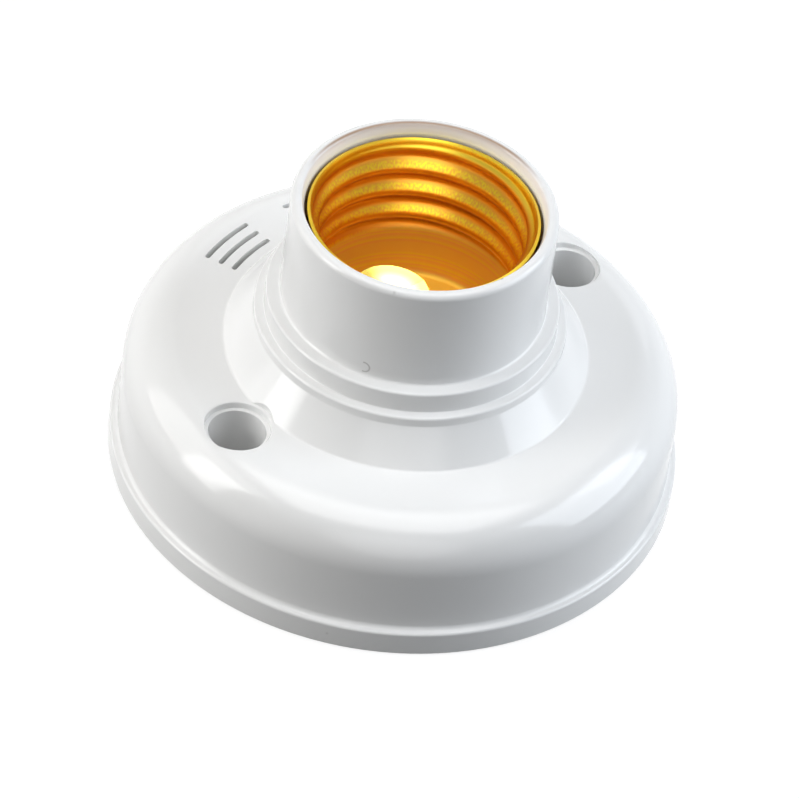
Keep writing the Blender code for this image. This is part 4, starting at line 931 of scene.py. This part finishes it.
# %% Assign finishes
CORNER_GAP = 0.000002
for name, obj in nodes.items():
    obj.data.materials.clear()
    obj.data.materials.append(finishes[name])
    obj.data.shade_smooth()
    if obj.hide_render:
        continue
    weld = obj.modifiers.new("weld", "WELD")
    weld.merge_threshold = CORNER_GAP
    split = obj.modifiers.new("edges", "EDGE_SPLIT")
    split.split_angle = math.radians(35.0)
print("finished nodes", len(nodes))

# %% [markdown]
# ## The surroundings
# Seen by the camera, the surroundings are white. Gloss and glass see white near the horizon, a bright
# window behind the camera and a bright patch of ceiling, and those shapes make the highlights on the
# plastic and on the contact. The rays that only bring light get a dim grey, so the background adds next to
# nothing to the object.

# %% World
TO_WINDOW = (-0.5300, -0.6800, 0.5050)
world = bpy.data.worlds.new("studio")
bpy.context.scene.world = world
world.use_nodes = True
tree = world.node_tree
tree.nodes.clear()
path = add_node(tree, "ShaderNodeLightPath").outputs
shiny = work_out(tree, "MAXIMUM", path["Is Glossy Ray"], path["Is Transmission Ray"])
seen = work_out(tree, "MAXIMUM", path["Is Camera Ray"], shiny)
direction = add_node(tree, "ShaderNodeTexCoord").outputs["Generated"]
height = add_node(tree, "ShaderNodeSeparateXYZ", {0: direction}).outputs["Z"]
backdrop = fade(tree, height, start=0.08, stop=0.40, low=1.0, high=0.45)
ceiling = fade(tree, height, start=0.82, stop=0.95, low=0.0, high=1.6)
towards = measure(tree, "DOT_PRODUCT", direction, TO_WINDOW)
window = fade(tree, towards, start=0.88, stop=0.97, low=0.0, high=1.6)
mirrored = work_out(tree, "ADD", work_out(tree, "ADD", backdrop, window), ceiling)
strength = work_out(tree, "MAXIMUM", path["Is Camera Ray"], mirrored)
dim = add_node(tree, "ShaderNodeBackground", {"Color": (0.96, 0.98, 1.0, 1.0), "Strength": 0.06})
white = add_node(tree, "ShaderNodeBackground", {"Color": (1.0, 1.0, 1.0, 1.0), "Strength": strength})
both = add_node(tree, "ShaderNodeMixShader", {0: seen, 1: dim.outputs[0], 2: white.outputs[0]})
add_node(tree, "ShaderNodeOutputWorld", {"Surface": both.outputs[0]})
print("world ready")

# %% [markdown]
# ## The floor
# The object stands on a plain pale floor that keeps its shadow. To the camera and to gloss, a part of the
# floor's white is its own glow, which makes it as white as the background, and the rest is a light grey
# that darkens in the shadow. To the rays that only bring light it is a darker grey, so that it doesn't
# throw too much light up. It lies a hair below the foot, since two faces in one place would flicker.

# %% Floor
FLOOR_DROP = 0.00003
SEEN_GREY, LIGHT_GREY, GLOW = 0.28, 0.14, 0.78
bm = bmesh.new()
bmesh.ops.create_circle(bm, cap_ends=True, segments=64, radius=3.0,
                        matrix=Matrix.Translation((0.0, 0.0, -FLOOR_DROP)))
floor = to_object("floor", bm)
floor_material, tree, shader = new_material("pale_floor", 0.6, Specular_IOR_Level=0.2)
path = add_node(tree, "ShaderNodeLightPath").outputs
shiny = work_out(tree, "MAXIMUM", path["Is Camera Ray"], path["Is Glossy Ray"])
seen = work_out(tree, "MAXIMUM", shiny, path["Is Transmission Ray"])
grey = fade(tree, seen, start=0.0, stop=1.0, low=LIGHT_GREY, high=SEEN_GREY, kind="LINEAR")
tree.links.new(grey, shader.inputs["Base Color"])
glow = add_node(tree, "ShaderNodeEmission", {"Color": (1.0, 1.0, 1.0, 1.0), "Strength": GLOW})
lit = add_node(tree, "ShaderNodeAddShader", {0: shader.outputs[0], 1: glow.outputs[0]})
mix = add_node(tree, "ShaderNodeMixShader", {0: seen, 1: shader.outputs[0], 2: lit.outputs[0]})
tree.links.new(mix.outputs[0], tree.nodes["Material Output"].inputs["Surface"])
floor.data.materials.append(floor_material)
print("floor ready")

# %% [markdown]
# ## Soft lamps
# A photographer's softbox is a large glowing rectangle, and an area lamp is the same thing. It's placed as
# seen from the camera, since that is how one reads where the highlights of a picture come from, and it
# turns its face to the object.


# %% Lamp helpers
def softbox(name, place, width, height, power, colour, target=(0.0, 0.0, 0.015)):
    """An area lamp at a place in metres, turned towards the object."""
    data = bpy.data.lights.new(name, "AREA")
    data.shape = "RECTANGLE"
    data.size = width
    data.size_y = height
    data.energy = power
    data.color = colour
    lamp = bpy.data.objects.new(name, data)
    lamp.location = place
    lamp.rotation_mode = "QUATERNION"
    lamp.rotation_quaternion = (Vector(place) - Vector(target)).to_track_quat("Z", "Y")
    bpy.context.scene.collection.objects.link(lamp)
    return lamp


def from_camera(side, away, up):
    """A place given as metres to the camera's right, away from the camera, and up."""
    right = Vector((0.7071, -0.7071, 0.0))
    ahead = Vector((0.7071, 0.7071, 0.0))
    return tuple(right * side + ahead * away + Vector((0.0, 0.0, up)))


print("lamp helpers ready")

# %% [markdown]
# ## Lamps
# A big soft lamp above gives the bright tops and the broad shine on the shoulder. Soft lamps at the sides
# light the walls, a little cooler on the right, and weak ones behind lift the far edges. Three of the side
# lamps would leave white spots inside the gold, which the picture doesn't have, so light linking keeps them
# off the shell.

# %% Lamps
PLAIN, WARM, SOFT, COOL, BLUISH = (
    (1.0, 1.0, 1.0), (1.0, 0.99, 0.975), (1.0, 1.0, 0.99), (0.93, 0.96, 1.0), (0.87, 0.93, 1.0),
)
plan = {  # place seen from the camera, width, height, power, colour
    "overhead": ((0.0, -0.03, 0.70), 0.60, 0.50, 1.55, WARM),
    "left_window": ((-0.58, -0.20, 0.26), 0.22, 0.50, 1.4, SOFT),
    "left_high": ((-0.50, -0.02, 0.34), 0.50, 0.50, 1.75, SOFT),
    "right_window": ((0.46, 0.18, 0.43), 0.22, 0.28, 0.30, COOL),
    "right_high": ((0.56, 0.02, 0.32), 0.50, 0.50, 3.05, BLUISH),
    "rear_high": ((0.0, 0.45, 0.68), 0.50, 0.40, 0.25, PLAIN),
    "rear": ((0.05, 0.75, 0.35), 0.70, 0.25, 0.4, PLAIN),
}
lamps = {name: softbox(name, from_camera(*place), *rest) for name, (place, *rest) in plan.items()}
flagged = bpy.data.collections.new("flagged")
flagged.objects.link(shell)
for name in ("left_window", "left_high", "right_high"):
    lamps[name].light_linking.receiver_collection = flagged
flagged.collection_objects[0].light_linking.link_state = "EXCLUDE"
print("lamps", list(lamps))
